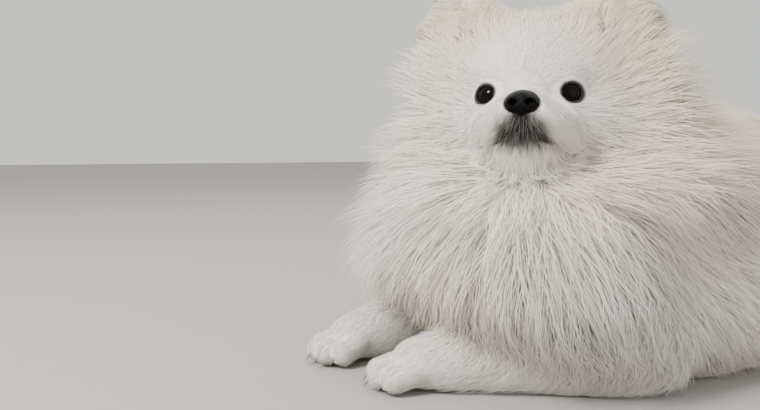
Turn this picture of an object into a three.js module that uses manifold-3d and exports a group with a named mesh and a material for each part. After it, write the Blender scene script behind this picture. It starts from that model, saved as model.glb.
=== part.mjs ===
// A Pomeranian lying on its chest with its head turned to its left, life size, in millimetres.
// The dog faces -Y, its left side is +X and the floor is z = 0. The origin lies under the chest.

import * as THREE from "three";
import { mergeVertices } from "three/addons/utils/BufferGeometryUtils.js";
import Module from "manifold-3d";

const wasm = await Module();
wasm.setup();

const vec = (x, y, z) => new THREE.Vector3(x, y, z);

// Driving sizes of the body under the coat.
const CHEST_HALF_WIDTH = 44;
const BACK_HEIGHT = 112;
const BREAST_FRONT = 64;
const RUMP_BACK = 166;
const ELBOW_OUT = 55;
const ELBOW_BACK = -22;
const FOREARM_LENGTH = 82;
const FOREARM_RADIUS = 13;
const FORELEG_TURN = { left: -23.8, right: 6 };
const PAW_LENGTH = 44;
const HOCK = { out: 50, back: 150, radius: 10 };
const HIND_TOE_FRONT = 78;

// The head: its middle, and how far it turns to the left and tips up.
const SKULL_AT = vec(8, -39, 138);
const HEAD_TURN = 45;
const HEAD_TIP = 15;
const EYE_OUT = 18.4;
const EYE_FRONT = 20;
const EYE_UP = 2;
const EYE_RADIUS = 8.3;
const NOSE_FRONT = 53;
const NOSE_DOWN = 12;
const EAR_TIP_UP = 72;

// The coat: how far its tips stand off the skin in each place.
const COAT = { back: 34, flank: 42, breast: 62, rump: 36, crown: 26, cheek: 12, ruff: 62, muzzle: 2 };

// The share of the coat's depth that the solid core fills, with locks over the rest of it.
const CORE_SHARE = 0.5;
const HEAD_CORE_SHARE = 0.62;
const ROOT_SUNK = 0.22;

// The ruff frames the face: its front stands behind the cheeks and runs forward under the chin.
const RUFF_FRONT = -6;
const CHIN_LEVEL = -22;
const BIB_SLOPE = 1.3;
const RUFF_TOP = 36;

// Room between touching pieces, and the depth of the block that flattens what lies on the floor.
const GAP = 0.35;
const BELOW_FLOOR = 200;
const LOWEST_TIP = 1.6;

const materials = {
  coat: { color: 0xece8dc, roughness: 0.95, metalness: 0 },
  shortCoat: { color: 0xf3f1ea, roughness: 0.92, metalness: 0 },
  eye: { color: 0x0b0908, roughness: 0.05, metalness: 0 },
  leather: { color: 0x17130f, roughness: 0.45, metalness: 0 },
  claw: { color: 0x2c2622, roughness: 0.4, metalness: 0 },
};

const sides = { left: 1, right: -1 };
const bothSides = (make) => Object.values(sides).map(make);
const lerp = THREE.MathUtils.lerp;
const clamp01 = (t) => Math.min(1, Math.max(0, t));
const ease = (from, to, value) => {
  const t = clamp01((value - from) / (to - from));
  return t * t * (3 - 2 * t);
};

// Even pseudo-random numbers from a fixed start, so that every run gives the same coat.
function seeded(start) {
  let state = start;
  return () => {
    state = (state * 1664525 + 1013904223) % 4294967296;
    return state / 4294967296;
  };
}

// Signed distances of the two round forms that the body is modelled from.
function ellipsoid(centre, radii) {
  return (p) => {
    const q = p.clone().sub(centre);
    const near = q.clone().divide(radii).length();
    const far = q.clone().divide(radii).divide(radii).length();
    return far > 0 ? (near * (near - 1)) / far : -Math.min(radii.x, radii.y, radii.z);
  };
}

function limb(from, to, startRadius, endRadius) {
  const axis = to.clone().sub(from);
  const lengthSq = axis.lengthSq();
  return (p) => {
    const along = clamp01(p.clone().sub(from).dot(axis) / lengthSq);
    const nearest = from.clone().addScaledVector(axis, along);
    return p.distanceTo(nearest) - lerp(startRadius, endRadius, along);
  };
}

// Two distances run together as muscle does, or cut by each other, with a fillet of that softness.
function softMin(a, b, softness) {
  const near = Math.max(softness - Math.abs(a - b), 0) / softness;
  return Math.min(a, b) - (near * near * softness) / 4;
}
const softMax = (a, b, softness) => -softMin(-a, -b, softness);
const flesh = (softness, forms) => (p) =>
  forms.slice(1).reduce((joined, form) => softMin(joined, form(p), softness), forms[0](p));

// Turns a three.js geometry into a solid, and back.
function solid(geometry) {
  const bare = new THREE.BufferGeometry();
  bare.setAttribute("position", geometry.getAttribute("position"));
  bare.setIndex(geometry.getIndex());
  const merged = mergeVertices(bare, 1e-3);
  return new wasm.Manifold(
    new wasm.Mesh({
      numProp: 3,
      vertProperties: merged.getAttribute("position").array,
      triVerts: new Uint32Array(merged.getIndex().array),
    }),
  );
}

function geometryOf(body) {
  const mesh = body.getMesh();
  const stride = mesh.numProp;
  const points = new Float32Array(mesh.numVert * 3);
  for (let i = 0; i < mesh.numVert; i++) {
    points.set(mesh.vertProperties.subarray(i * stride, i * stride + 3), i * 3);
  }
  const geometry = new THREE.BufferGeometry();
  geometry.setAttribute("position", new THREE.BufferAttribute(points, 3));
  geometry.setIndex(new THREE.BufferAttribute(new Uint32Array(mesh.triVerts), 1));
  return geometry.toNonIndexed();
}

const joined = (solids) => wasm.Manifold.union(solids);
const largest = (body) =>
  body.decompose().reduce((best, piece) => (piece.volume() > best.volume() ? piece : best));

// The distance from a centre along a ray to where a field turns from inside to outside.
function reachAlong(field, centre, ray, reach) {
  const at = vec(0, 0, 0);
  const insideAt = (distance) => field(at.copy(centre).addScaledVector(ray, distance)) < 0;
  let inside = 0;
  let outside = 4;
  while (outside < reach && insideAt(outside)) {
    inside = outside;
    outside += 4;
  }
  for (let halving = 0; halving < 20; halving++) {
    const middle = (inside + outside) / 2;
    if (insideAt(middle)) inside = middle;
    else outside = middle;
  }
  return inside;
}

// A ball whose points are pushed out along their own rays to where the field is zero.
function rounded(field, centre, detail, reach = 320) {
  const bare = new THREE.BufferGeometry();
  bare.setAttribute("position", new THREE.IcosahedronGeometry(1, detail).getAttribute("position"));
  const ball = mergeVertices(bare, 1e-4);
  const points = ball.getAttribute("position");
  const ray = vec(0, 0, 0);
  for (let i = 0; i < points.count; i++) {
    ray.fromBufferAttribute(points, i).normalize();
    ray.multiplyScalar(reachAlong(field, centre, ray, reach)).add(centre);
    points.setXYZ(i, ray.x, ray.y, ray.z);
  }
  return solid(ball);
}

// A closed skin over rings of points, each end drawn to one point, turned the right way out.
function lofted(rings, start, end) {
  const count = rings[0].length;
  const points = [...rings.flat(), start, end];
  const faces = [];
  for (let i = 0; i < rings.length - 1; i++) {
    for (let j = 0; j < count; j++) {
      const a = i * count + j;
      const b = i * count + ((j + 1) % count);
      faces.push([a, a + count, b], [b, a + count, b + count]);
    }
  }
  const first = points.length - 2;
  const last = (rings.length - 1) * count;
  for (let j = 0; j < count; j++) {
    const next = (j + 1) % count;
    faces.push([first, j, next], [first + 1, last + next, last + j]);
  }
  const geometry = new THREE.BufferGeometry().setFromPoints(points);
  geometry.setIndex(faces.flat());
  const made = solid(geometry);
  if (made.volume() > 0) return made;
  geometry.setIndex(faces.flatMap(([a, b, c]) => [a, c, b]));
  return solid(geometry);
}

// A closed tube of elliptical sections along a smooth line: wide across, thick up from it.
function sweep(line, across, width, thickness, { ring = 12, steps = 14, grow = 0 } = {}) {
  const curve = new THREE.CatmullRomCurve3(line);
  const rings = [];
  for (let i = 0; i <= steps; i++) {
    const along = i / steps;
    const middle = curve.getPointAt(along);
    const forward = curve.getTangentAt(along);
    const up = vec(0, 0, 0).crossVectors(forward, across).normalize();
    const side = vec(0, 0, 0).crossVectors(up, forward).normalize();
    const turns = Array.from({ length: ring }, (_, j) => (2 * Math.PI * j) / ring);
    rings.push(
      turns.map((turn) =>
        middle
          .clone()
          .addScaledVector(side, Math.cos(turn) * (width(along) / 2 + grow))
          .addScaledVector(up, Math.sin(turn) * (thickness(along) / 2 + grow)),
      ),
    );
  }
  return lofted(rings, curve.getPointAt(0), curve.getPointAt(1));
}

const floorBlock = solid(
  new THREE.BoxGeometry(900, 900, BELOW_FLOOR).translate(0, 0, -BELOW_FLOOR / 2),
);

// A frame that places and turns what it carries.
function frame(position, turn, tip = 0) {
  const group = new THREE.Group();
  group.position.copy(position);
  group.rotation.set(THREE.MathUtils.degToRad(-tip), 0, THREE.MathUtils.degToRad(turn), "ZXY");
  group.updateMatrixWorld(true);
  return group;
}
const placed = (body, group) => body.transform(group.matrixWorld.elements);
const headFrame = frame(SKULL_AT, HEAD_TURN, HEAD_TIP);
const intoHead = headFrame.matrixWorld.clone().invert();
const toHead = (p) => p.clone().applyMatrix4(intoHead);

// The bare body.
const trunkSkin = flesh(26, [
  ellipsoid(vec(0, 12, 58), vec(CHEST_HALF_WIDTH, 72, BACK_HEIGHT - 58)),
  ellipsoid(vec(0, -BREAST_FRONT + 28, 60), vec(33, 28, 36)),
  ellipsoid(vec(0, 80, 58), vec(39, 60, 49)),
  ellipsoid(vec(0, RUMP_BACK - 42, 56), vec(41, 42, 50)),
  ...bothSides((side) => ellipsoid(vec(34 * side, -26, 56), vec(18, 27, 36))),
  ...bothSides((side) => ellipsoid(vec(38 * side, 112, 42), vec(20, 40, 36))),
]);
const neckSkin = limb(vec(0, -20, 86), vec(SKULL_AT.x, SKULL_AT.y + 6, SKULL_AT.z - 2), 34, 33);
const headSkin = flesh(9, [
  ellipsoid(vec(0, 6, 6), vec(33, 36, 31)),
  ...bothSides((side) => ellipsoid(vec(20 * side, -3, -11), vec(15, 19, 14))),
  ...bothSides((side) => ellipsoid(vec(13 * side, -17, 12), vec(10, 8, 6))),
  limb(vec(0, -16, -9), vec(0, -45, -13), 16, 10),
  ...bothSides((side) => ellipsoid(vec(6.5 * side, -43, -17), vec(8, 10, 7))),
  limb(vec(0, -8, -20), vec(0, -40, -25), 13, 6.5),
]);

// The places of the head's own pieces, in the head's frame.
const eyeAt = (side) => vec(EYE_OUT * side, -EYE_FRONT, EYE_UP);
const noseAt = vec(0, -NOSE_FRONT, -NOSE_DOWN);

// How deep the coat stands, by place.
function bodyDepth(p) {
  const side = ease(10, CHEST_HALF_WIDTH, Math.abs(p.x)) * ease(120, 70, p.z);
  const breast = ease(-10, -58, p.y) * ease(14, 50, p.z);
  const rump = ease(110, 165, p.y);
  const top = lerp(COAT.back, COAT.flank, side);
  const whole = lerp(lerp(top, COAT.breast, breast), COAT.rump, rump);
  return whole * (0.5 + 0.5 * ease(0, 36, p.z));
}

function headDepth(p) {
  const face = ease(-34, -8, p.y);
  const crown = COAT.crown * ease(-30, 6, p.y) * lerp(0.3, 1, ease(-4, 22, p.z));
  const cheek = COAT.cheek * ease(16, 36, Math.abs(p.x)) * ease(-20, 8, p.y);
  const toEye = Math.min(...bothSides((side) => p.distanceTo(eyeAt(side))));
  return COAT.muzzle + face * Math.max(crown, cheek) * ease(10, 26, toEye);
}

// The space that the ruff leaves free in front of the face, and above itself behind the ears.
function faceRoom(p) {
  const q = toHead(p);
  const below = Math.max(0, CHIN_LEVEL - q.z);
  return (RUFF_FRONT - BIB_SLOPE * below - q.y) / (below > 0 ? Math.hypot(1, BIB_SLOPE) : 1);
}
const crownRoom = (p) => toHead(p).z - RUFF_TOP;

// A coat is a skin, a depth over it, and the rooms that it keeps out of.
const ROOM_STEP = 12;
const bodyCoat = { skin: trunkSkin, depth: bodyDepth, rooms: [faceRoom] };
const neckCoat = {
  skin: neckSkin,
  depth: (p) => COAT.ruff * ease(50, 90, p.z),
  rooms: [faceRoom, crownRoom],
};
const headCoat = { skin: headSkin, depth: headDepth, rooms: [] };

// The surface at a share of a coat's depth: 0 is the skin and 1 is the outline of the tips.
const coatAt = (coat, share, grow = 0) => (p) =>
  coat.rooms.reduce(
    (body, room) => softMax(body, room(p) + (1 - share) * ROOM_STEP, 14),
    coat.skin(p) - coat.depth(p) * share,
  ) - grow;

function gradient(field, p) {
  const here = field(p);
  const slope = vec(
    field(vec(p.x + 0.5, p.y, p.z)) - here,
    field(vec(p.x, p.y + 0.5, p.z)) - here,
    field(vec(p.x, p.y, p.z + 0.5)) - here,
  );
  return { here, slope: slope.multiplyScalar(2) };
}

// Moves a point onto a surface and gives the surface's normal there.
function settle(field, p) {
  let normal = vec(0, 0, 1);
  for (let i = 0; i < 4; i++) {
    const { here, slope } = gradient(field, p);
    const steepness = Math.max(slope.lengthSq(), 0.2);
    p.addScaledVector(slope, -THREE.MathUtils.clamp(here / steepness, -12, 12));
    normal = slope.normalize();
  }
  return normal;
}

// A lock: a flat, tapered, bending blade with a low ridge, in rings at the stations of its path.
const STATIONS = [0, 0.34, 0.7];
const STATION_WIDTH = [0.8, 1, 0.62];
function blade(stations, tip, width, thickness, grow) {
  const rings = stations.map(({ at, normal, across }, i) => {
    const bareRise = (thickness / 2) * STATION_WIDTH[i];
    const rise = bareRise + 1.5 * grow;
    const half = ((width / 2) * STATION_WIDTH[i] + 1.5 * grow) * (rise / (bareRise + 0.75 * grow));
    return [
      at.clone().addScaledVector(across, half).addScaledVector(normal, -rise),
      at.clone().addScaledVector(normal, rise),
      at.clone().addScaledVector(across, -half).addScaledVector(normal, -rise),
    ];
  });
  const last = stations[stations.length - 1].at;
  const end = tip.clone().addScaledVector(tip.clone().sub(last).normalize(), 4 * grow);
  return lofted(rings, stations[0].at.clone(), end);
}

// The lie of the coat at a place, laid into the surface; where it meets it head on, it hangs down.
function alongCoat(lie, at, normal) {
  const way = lie(at);
  const flat = way.addScaledVector(normal, -way.dot(normal));
  flat.z -= 0.5 * ease(0.6, 0.1, flat.length());
  return flat.addScaledVector(normal, -flat.dot(normal)).normalize();
}

// A lock that leaves the core, lies along the coat as it rises through it, and ends at its outline.
function lock(coat, coreShare, root, lie, { length, width, thickness }, grow) {
  const at = root.clone();
  let normal = gradient(coatAt(coat, coreShare), at).slope.normalize();
  let across = null;
  const stations = [...STATIONS, 1].map((along, i, all) => {
    const share = lerp(coreShare - ROOT_SUNK, 1, Math.pow(along, 0.85));
    if (i > 0) at.addScaledVector(alongCoat(lie, at, normal), length * (along - all[i - 1]));
    normal = settle(coatAt(coat, share), at);
    at.z = Math.max(at.z, LOWEST_TIP + thickness / 2);
    const turned = vec(0, 0, 0).crossVectors(normal, alongCoat(lie, at, normal)).normalize();
    across = across && across.dot(turned) < 0 ? turned.negate() : turned;
    return { at: at.clone(), normal, across };
  });
  const tip = stations.pop();
  return blade(stations, tip.at, width, thickness, grow);
}

// Roots spread evenly over a coat's core, leaving out the places that skip names.
function rootsOn(coat, coreShare, centre, spacing, skip, reach) {
  const random = seeded(7);
  const field = coatAt(coat, coreShare);
  const roots = [];
  const tries = 2600;
  const order = Array.from({ length: tries }, (_, i) => i).sort(() => random() - 0.5);
  for (const i of order) {
    const up = 1 - (2 * (i + 0.5)) / tries;
    const turn = i * Math.PI * (3 - Math.sqrt(5));
    const flat = Math.sqrt(1 - up * up);
    const ray = vec(flat * Math.cos(turn), flat * Math.sin(turn), up);
    const root = centre.clone().addScaledVector(ray, reachAlong(field, centre, ray, reach));
    const room = spacing(root);
    if (!skip(root) && roots.every((other) => other.distanceTo(root) > room)) roots.push(root);
  }
  return roots;
}

function locksOn(coat, coreShare, roots, lie, size, grow) {
  const random = seeded(11);
  return roots.map((root) => {
    const scale = 0.88 + 0.24 * random();
    const turned = (random() - 0.5) * 0.36;
    const wavy = (p) => {
      const way = lie(p);
      return way.applyAxisAngle(vec(0, 0, 1), turned).normalize();
    };
    const own = { ...size, length: size.length * scale };
    return lock(coat, coreShare, root, wavy, own, grow);
  });
}

// The lie of the coat: away from the throat over the breast and shoulders, then back and down.
const THROAT = vec(30, -62, 108);
function bodyLie(p) {
  const away = p.clone().sub(THROAT).normalize();
  const back = vec(0, 1, -0.3 - 0.75 * ease(14, 60, Math.abs(p.x)) - 0.6 * ease(120, 190, p.y));
  const way = back.normalize().lerp(away, ease(80, -30, p.y));
  way.z -= 0.3;
  return way.normalize();
}

// The ruff spreads out from round the face, sweeps back and hangs below it.
function ruffLie(p) {
  const q = toHead(p);
  const way = vec(q.x, 0, q.z + 6).normalize();
  way.y = 0.55;
  way.transformDirection(headFrame.matrixWorld);
  way.z -= 0.45 * ease(150, 90, p.z);
  return way.normalize();
}

// On the head the hair runs back and outward from the bridge of the nose, in the head's frame.
const headLie = (p) => vec(p.x * 1.15, p.y + 44, p.z + 6).normalize();

// The pieces of the face.
const ball = (centre, radii, detail) => {
  const form = new THREE.IcosahedronGeometry(1, detail).scale(radii.x, radii.y, radii.z);
  return solid(form.translate(centre.x, centre.y, centre.z));
};

const eyeBall = (side, grow) => {
  const radius = EYE_RADIUS + grow;
  return ball(eyeAt(side), vec(radius, radius, radius), 3);
};

const noseForm = (grow) => {
  const field = flesh(4, [
    ellipsoid(noseAt, vec(8.4, 5.8, 6.2)),
    ellipsoid(noseAt.clone().add(vec(0, 1, -4)), vec(4, 4.6, 5)),
  ]);
  return rounded((p) => field(p) - grow, noseAt, 2, 40);
};

const nostrils = () =>
  bothSides((side) =>
    ball(noseAt.clone().add(vec(4.1 * side, -5.4, 0.2)), vec(1.9, 3.2, 1.7), 1),
  );

const lid = (side, grow) => {
  const gaze = vec(0.34 * side, -1, 0.02).normalize();
  const ring = new THREE.TorusGeometry(6.9, 1.5 + grow, 5, 14);
  ring.applyQuaternion(new THREE.Quaternion().setFromUnitVectors(vec(0, 0, 1), gaze));
  const at = eyeAt(side).addScaledVector(gaze, 4.2);
  return solid(ring.translate(at.x, at.y, at.z));
};

// The line of the mouth is a shallow groove round the front of the muzzle.
const mouthCut = () => {
  const half = [vec(24, -16, -17), vec(16, -36, -23), vec(8, -50, -23.5)];
  const line = [...half, vec(0, -55, -21.5), ...half.reverse().map((p) => vec(-p.x, p.y, p.z))];
  const groove = sweep(line, vec(0, 0, 1), () => 1.3, () => 13, { ring: 4, steps: 16 });
  return groove.subtract(rounded((p) => headSkin(p) - 0.4, vec(0, -6, -4), 5, 90));
};

// The head's core, with locks on the cheeks, the crown and the nape.
const HEAD_CENTRE = vec(0, -6, -2);
const headForm = (share, grow) => rounded(coatAt(headCoat, share, grow), HEAD_CENTRE, 5, 120);
const earBase = (side) => vec(30 * side, 8, 24);
const earTip = (side) => vec(44 * side, 3, EAR_TIP_UP);
const nearEar = (p, room) =>
  bothSides((side) => limb(earBase(side), earTip(side), 18, 6)(p)).some((near) => near < room);
const headRoots = rootsOn(
  headCoat,
  HEAD_CORE_SHARE,
  HEAD_CENTRE,
  () => 22,
  (p) => headDepth(p) < 8 || nearEar(p, 4) || (p.y > 14 && p.z < 14) || p.z < -28,
  120,
);
const HEAD_LOCK = { length: 34, width: 22, thickness: 4 };
const headLocks = (grow) =>
  locksOn(headCoat, HEAD_CORE_SHARE, headRoots, headLie, HEAD_LOCK, grow);

// An ear is a cupped cone with a fringe of locks at its outer side and its back.
const earField = (side) => flesh(6, [limb(earBase(side), earTip(side), 18, 4)]);
const EAR_LOCKS = [
  { up: 0.3, out: 1, back: 0 },
  { up: 0.55, out: 1, back: 0.3 },
  { up: 0.8, out: 0.8, back: 0.5 },
  { up: 0.4, out: 0.5, back: 1 },
  { up: 0.5, out: -0.8, back: 0.5 },
];
function earForm(side, grow) {
  const field = earField(side);
  const middle = earBase(side).lerp(earTip(side), 0.3);
  const core = rounded((p) => field(p) - grow, middle, 3, 90);
  const fringe = EAR_LOCKS.map(({ up, out, back }) => {
    const root = earBase(side).lerp(earTip(side), up);
    const away = vec(out * side, back, 0).normalize();
    const radius = lerp(18, 4, up);
    const across = vec(-away.y, away.x, 0);
    const stations = STATIONS.map((along) => ({
      at: root
        .clone()
        .addScaledVector(away, radius * 0.5 + 20 * along)
        .add(vec(0, 0, 12 * Math.pow(along, 1.4))),
      normal: vec(-away.x, -away.y, 1).normalize(),
      across,
    }));
    const tip = root.clone().addScaledVector(away, radius * 0.5 + 25).add(vec(0, 0, 18));
    return blade(stations, tip, 20, 5, grow);
  });
  const ear = joined([core, ...fringe]);
  const cup = ball(vec(36 * side, -12, 47), vec(10, 15, 23), 2);
  return grow > 0 ? ear : ear.subtract(cup);
}

// The tail rises from the rump and lies forward over the back, its plume spread to both sides.
const tailLine = [
  vec(0, 152, 82),
  vec(0, 178, 106),
  vec(0, 161, 130),
  vec(3, 120, 136),
  vec(6, 80, 135),
  vec(8, 50, 134),
];
const TAIL_ACROSS = vec(1, 0, 0.08).normalize();
const plumeWidth = (s) => 20 + 74 * Math.sin(Math.PI * Math.pow(s, 0.75));
const plumeDepth = (s) => 15 + 13 * Math.sin(Math.PI * Math.pow(s, 0.8));
const tailForm = (share, grow) =>
  sweep(tailLine, TAIL_ACROSS, (s) => plumeWidth(s) * share, (s) => plumeDepth(s) * share, {
    ring: 10,
    steps: 10,
    grow,
  });
function tailLocks(grow) {
  const curve = new THREE.CatmullRomCurve3(tailLine);
  const random = seeded(23);
  const made = [];
  for (let row = 0; row < 5; row++) {
    for (const lane of [-0.95, -0.5, 0, 0.5, 0.95]) {
      const start = 0.05 + row * 0.16 + 0.04 * random();
      const point = (along) => {
        const s = Math.min(start + 0.27 * along, 1);
        const spread = lane * lerp(0.3, 0.94, along);
        const rise = Math.sqrt(1 - lane * lane * 0.8) * lerp(0.35, 0.9, along);
        const forward = curve.getTangentAt(s);
        const up = vec(0, 0, 0).crossVectors(forward, TAIL_ACROSS).normalize().negate();
        const at = curve
          .getPointAt(s)
          .addScaledVector(TAIL_ACROSS, (plumeWidth(s) / 2) * spread)
          .addScaledVector(up, (plumeDepth(s) / 2) * rise);
        return { at, normal: up, across: vec(0, 0, 0).crossVectors(up, forward).normalize() };
      };
      made.push(blade(STATIONS.map(point), point(1).at, 30, 6, grow));
    }
  }
  return made;
}

// A paw in its own frame, toes to -Y, wrist at the origin, on the floor.
const TOES = [-10.2, -3.6, 3.6, 10.2].map((across, i) => ({
  across,
  front: PAW_LENGTH - 6.5 - (i === 0 || i === 3 ? 6 : 0),
}));
const pawForm = (grow, detail) => {
  const field = flesh(3.5, [
    ellipsoid(vec(0, -15, 12.5), vec(13, 19, 12.5)),
    ...TOES.map(({ across, front }) =>
      limb(vec(across * 0.75, -20, 12), vec(across, -front, 7.5), 6.6, 6.2),
    ),
  ]);
  return rounded((p) => field(p) - grow, vec(0, -18, 11), detail, 60);
};
const clawForm = ({ across, front }, grow) => {
  const line = [
    vec(across, -front - 2, 7.5),
    vec(across * 1.02, -front - 6.8, 5.4),
    vec(across * 1.03, -front - 8.4, 2),
  ];
  return sweep(line, vec(1, 0, 0), (s) => 3.4 - 2.6 * s, (s) => 3.8 - 2.9 * s, {
    ring: 4,
    steps: 2,
    grow,
  });
};

const FORELEG_TOP = FOREARM_RADIUS + 4;
const forelegForm = (grow) => {
  const field = flesh(8, [
    limb(vec(0, 10, 16), vec(0, -FOREARM_LENGTH + 4, 12.5), FORELEG_TOP, FOREARM_RADIUS - 1),
    ellipsoid(vec(0, -FOREARM_LENGTH / 2, 13), vec(15, 42, 14)),
  ]);
  return rounded((p) => field(p) - grow, vec(0, -FOREARM_LENGTH * 0.45, 12), 2, 110);
};

const HIND_LENGTH = HOCK.back - HIND_TOE_FRONT - PAW_LENGTH + 4;
const hindLegForm = (grow) => {
  const field = flesh(8, [
    limb(vec(0, 4, 15), vec(0, -HIND_LENGTH, 11), HOCK.radius + 5, 11),
    limb(vec(0, 0, 18), vec(0, -14, 34), 13, 15),
  ]);
  return rounded((p) => field(p) - grow, vec(0, -8, 16), 2, 90);
};

const root = new THREE.Group();
const finishes = Object.fromEntries(
  Object.entries(materials).map(([name, look]) => [name, new THREE.MeshStandardMaterial(look)]),
);
function add(group, name, body, finish) {
  const mesh = new THREE.Mesh(geometryOf(largest(body)), finishes[finish]);
  mesh.name = name;
  group.add(mesh);
}

// The head and what it carries.
root.add(headFrame);
const headRoom = joined([...bothSides((side) => eyeBall(side, GAP)), noseForm(GAP), mouthCut()]);
const lids = bothSides((side) => lid(side, 0));
const head = joined([headForm(HEAD_CORE_SHARE, 0), ...headLocks(0), ...lids]).subtract(headRoom);
add(headFrame, "head", head, "coat");
add(headFrame, "nose", noseForm(0).subtract(joined(nostrils())), "leather");
const headCut = joined([headForm(HEAD_CORE_SHARE, GAP), ...headLocks(GAP)]);
for (const [name, side] of Object.entries(sides)) {
  add(headFrame, `eye_${name}`, eyeBall(side, 0), "eye");
  add(headFrame, `ear_${name}`, earForm(side, 0).subtract(headCut), "coat");
}
const headGrown = placed(
  joined([
    headForm(1, GAP),
    headCut,
    noseForm(GAP),
    ...bothSides((side) => earForm(side, GAP)),
    ...bothSides((side) => eyeBall(side, GAP)),
    ...bothSides((side) => lid(side, GAP)),
  ]),
  headFrame,
);

// The legs, each with its paw and claws.
const legsGrown = [];
for (const [name, side] of Object.entries(sides)) {
  const elbow = frame(vec(ELBOW_OUT * side, ELBOW_BACK, 0), FORELEG_TURN[name]);
  const hock = frame(vec(HOCK.out * side, HOCK.back, 0), 4 * side);
  const fore = { leg: `foreleg_${name}`, paw: `forepaw_${name}`, claw: `foreclaw_${name}` };
  const hind = { leg: `hind_leg_${name}`, paw: `hind_paw_${name}`, claw: `hind_claw_${name}` };
  for (const [at, form, length, names, detail] of [
    [elbow, forelegForm, FOREARM_LENGTH, fore, 3],
    [hock, hindLegForm, HIND_LENGTH, hind, 2],
  ]) {
    root.add(at);
    const wrist = new THREE.Group();
    wrist.position.set(0, -length, 0);
    at.add(wrist);
    at.updateMatrixWorld(true);
    const shift = [0, -length, 0];
    const paw = pawForm(GAP, detail).translate(shift);
    add(at, names.leg, form(0).subtract(joined([paw, floorBlock])), "shortCoat");
    const claws = joined(TOES.map((toe) => clawForm(toe, GAP)));
    add(wrist, names.paw, pawForm(0, detail).subtract(joined([claws, floorBlock])), "shortCoat");
    TOES.forEach((toe, i) => add(wrist, `${names.claw}_${i + 1}`, clawForm(toe, 0), "claw"));
    legsGrown.push(placed(joined([form(GAP), paw, claws.translate(shift)]), at));
  }
}

// The tail, neck and trunk, each cut clear of what was made before it.
const inHead = (p, room) => coatAt(headCoat, 1)(toHead(p)) < room;
add(root, "tail", joined([tailForm(CORE_SHARE, 0), ...tailLocks(0)]).subtract(headGrown), "coat");
const tailGrown = joined([tailForm(0.8, GAP), ...tailLocks(GAP)]);

const NECK_CENTRE = vec(3, -26, 104);
const neckForm = (share, grow) => rounded(coatAt(neckCoat, share, grow), NECK_CENTRE, 4, 200);
const neckRoots = rootsOn(
  neckCoat,
  CORE_SHARE,
  NECK_CENTRE,
  () => 26,
  (p) => inHead(p, 2) || coatAt(bodyCoat, CORE_SHARE)(p) < 2,
  200,
);
const RUFF_LOCK = { length: 56, width: 33, thickness: 5.5 };
const neckLocks = (grow) => locksOn(neckCoat, CORE_SHARE, neckRoots, ruffLie, RUFF_LOCK, grow);
const neck = joined([neckForm(CORE_SHARE, 0), ...neckLocks(0)]);
add(root, "neck", neck.subtract(joined([headGrown, tailGrown, floorBlock])), "coat");

const TRUNK_CENTRE = vec(0, 50, 60);
const inTail = (p) => tailLine.some((point) => point.distanceTo(p) < 20);
const trunkRoots = rootsOn(
  bodyCoat,
  CORE_SHARE,
  TRUNK_CENTRE,
  (p) => lerp(35, 46, ease(-50, 0, p.y)),
  (p) => inHead(p, 2) || coatAt(neckCoat, CORE_SHARE)(p) < 2 || p.z < 20 || inTail(p),
  320,
);
const BODY_LOCK = { length: 80, width: 50, thickness: 7 };
const trunkLocks = locksOn(bodyCoat, CORE_SHARE, trunkRoots, bodyLie, BODY_LOCK, 0);
const trunk = joined([rounded(coatAt(bodyCoat, CORE_SHARE), TRUNK_CENTRE, 4), ...trunkLocks]);
const neckGrown = joined([neckForm(CORE_SHARE, GAP), ...neckLocks(GAP)]);
const torso = trunk.subtract(joined([headGrown, neckGrown, tailGrown, ...legsGrown, floorBlock]));
add(root, "torso", torso, "coat");

export default root;
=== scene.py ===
"""A Pomeranian lying on its chest with its head turned to its left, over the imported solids.

Shapes are worked out in millimetres in the row frame: the dog faces -Y, its left side is +X and
the floor is z = 0. The skin is one mesh, the coat is solid tufts that follow the lie of the hair.
"""

import logging
import math
from collections.abc import Callable, Sequence
from dataclasses import dataclass, field
from enum import Enum
from functools import reduce

import bpy
import numpy as np
import openvdb
from mathutils import Matrix, Vector
from mathutils.kdtree import KDTree


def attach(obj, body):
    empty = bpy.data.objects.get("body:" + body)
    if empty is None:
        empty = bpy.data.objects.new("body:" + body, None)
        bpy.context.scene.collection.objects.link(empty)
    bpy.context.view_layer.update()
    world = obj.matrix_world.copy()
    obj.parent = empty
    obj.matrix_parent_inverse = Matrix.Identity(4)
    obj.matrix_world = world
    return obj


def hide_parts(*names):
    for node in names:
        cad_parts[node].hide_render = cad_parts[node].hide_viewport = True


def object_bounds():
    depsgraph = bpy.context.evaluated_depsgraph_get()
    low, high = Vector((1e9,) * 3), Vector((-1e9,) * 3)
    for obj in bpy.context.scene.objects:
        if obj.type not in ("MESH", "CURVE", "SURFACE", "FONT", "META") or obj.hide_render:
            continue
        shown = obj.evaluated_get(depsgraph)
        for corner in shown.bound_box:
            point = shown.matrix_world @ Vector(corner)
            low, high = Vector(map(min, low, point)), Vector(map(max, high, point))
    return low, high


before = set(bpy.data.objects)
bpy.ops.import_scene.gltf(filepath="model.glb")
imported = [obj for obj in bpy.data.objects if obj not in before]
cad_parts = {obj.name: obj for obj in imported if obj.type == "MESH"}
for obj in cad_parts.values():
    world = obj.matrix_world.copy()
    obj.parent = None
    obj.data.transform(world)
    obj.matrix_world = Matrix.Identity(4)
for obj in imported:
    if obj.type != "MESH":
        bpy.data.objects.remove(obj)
CAD_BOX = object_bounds()

log = logging.getLogger("pomeranian")
logging.basicConfig(level=logging.INFO, format="%(message)s")

Array = np.ndarray
Triple = tuple[float, float, float]
Colour = tuple[float, float, float, float]
Cell = tuple[float, float, float, float]

METRES = 0.001
SEED = 41

# Shares of the coat's depth, from the flesh at 0 to the tips at 1
SKIN_SHARE = 0.5
ROOT_SHARE = 0.42


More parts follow.
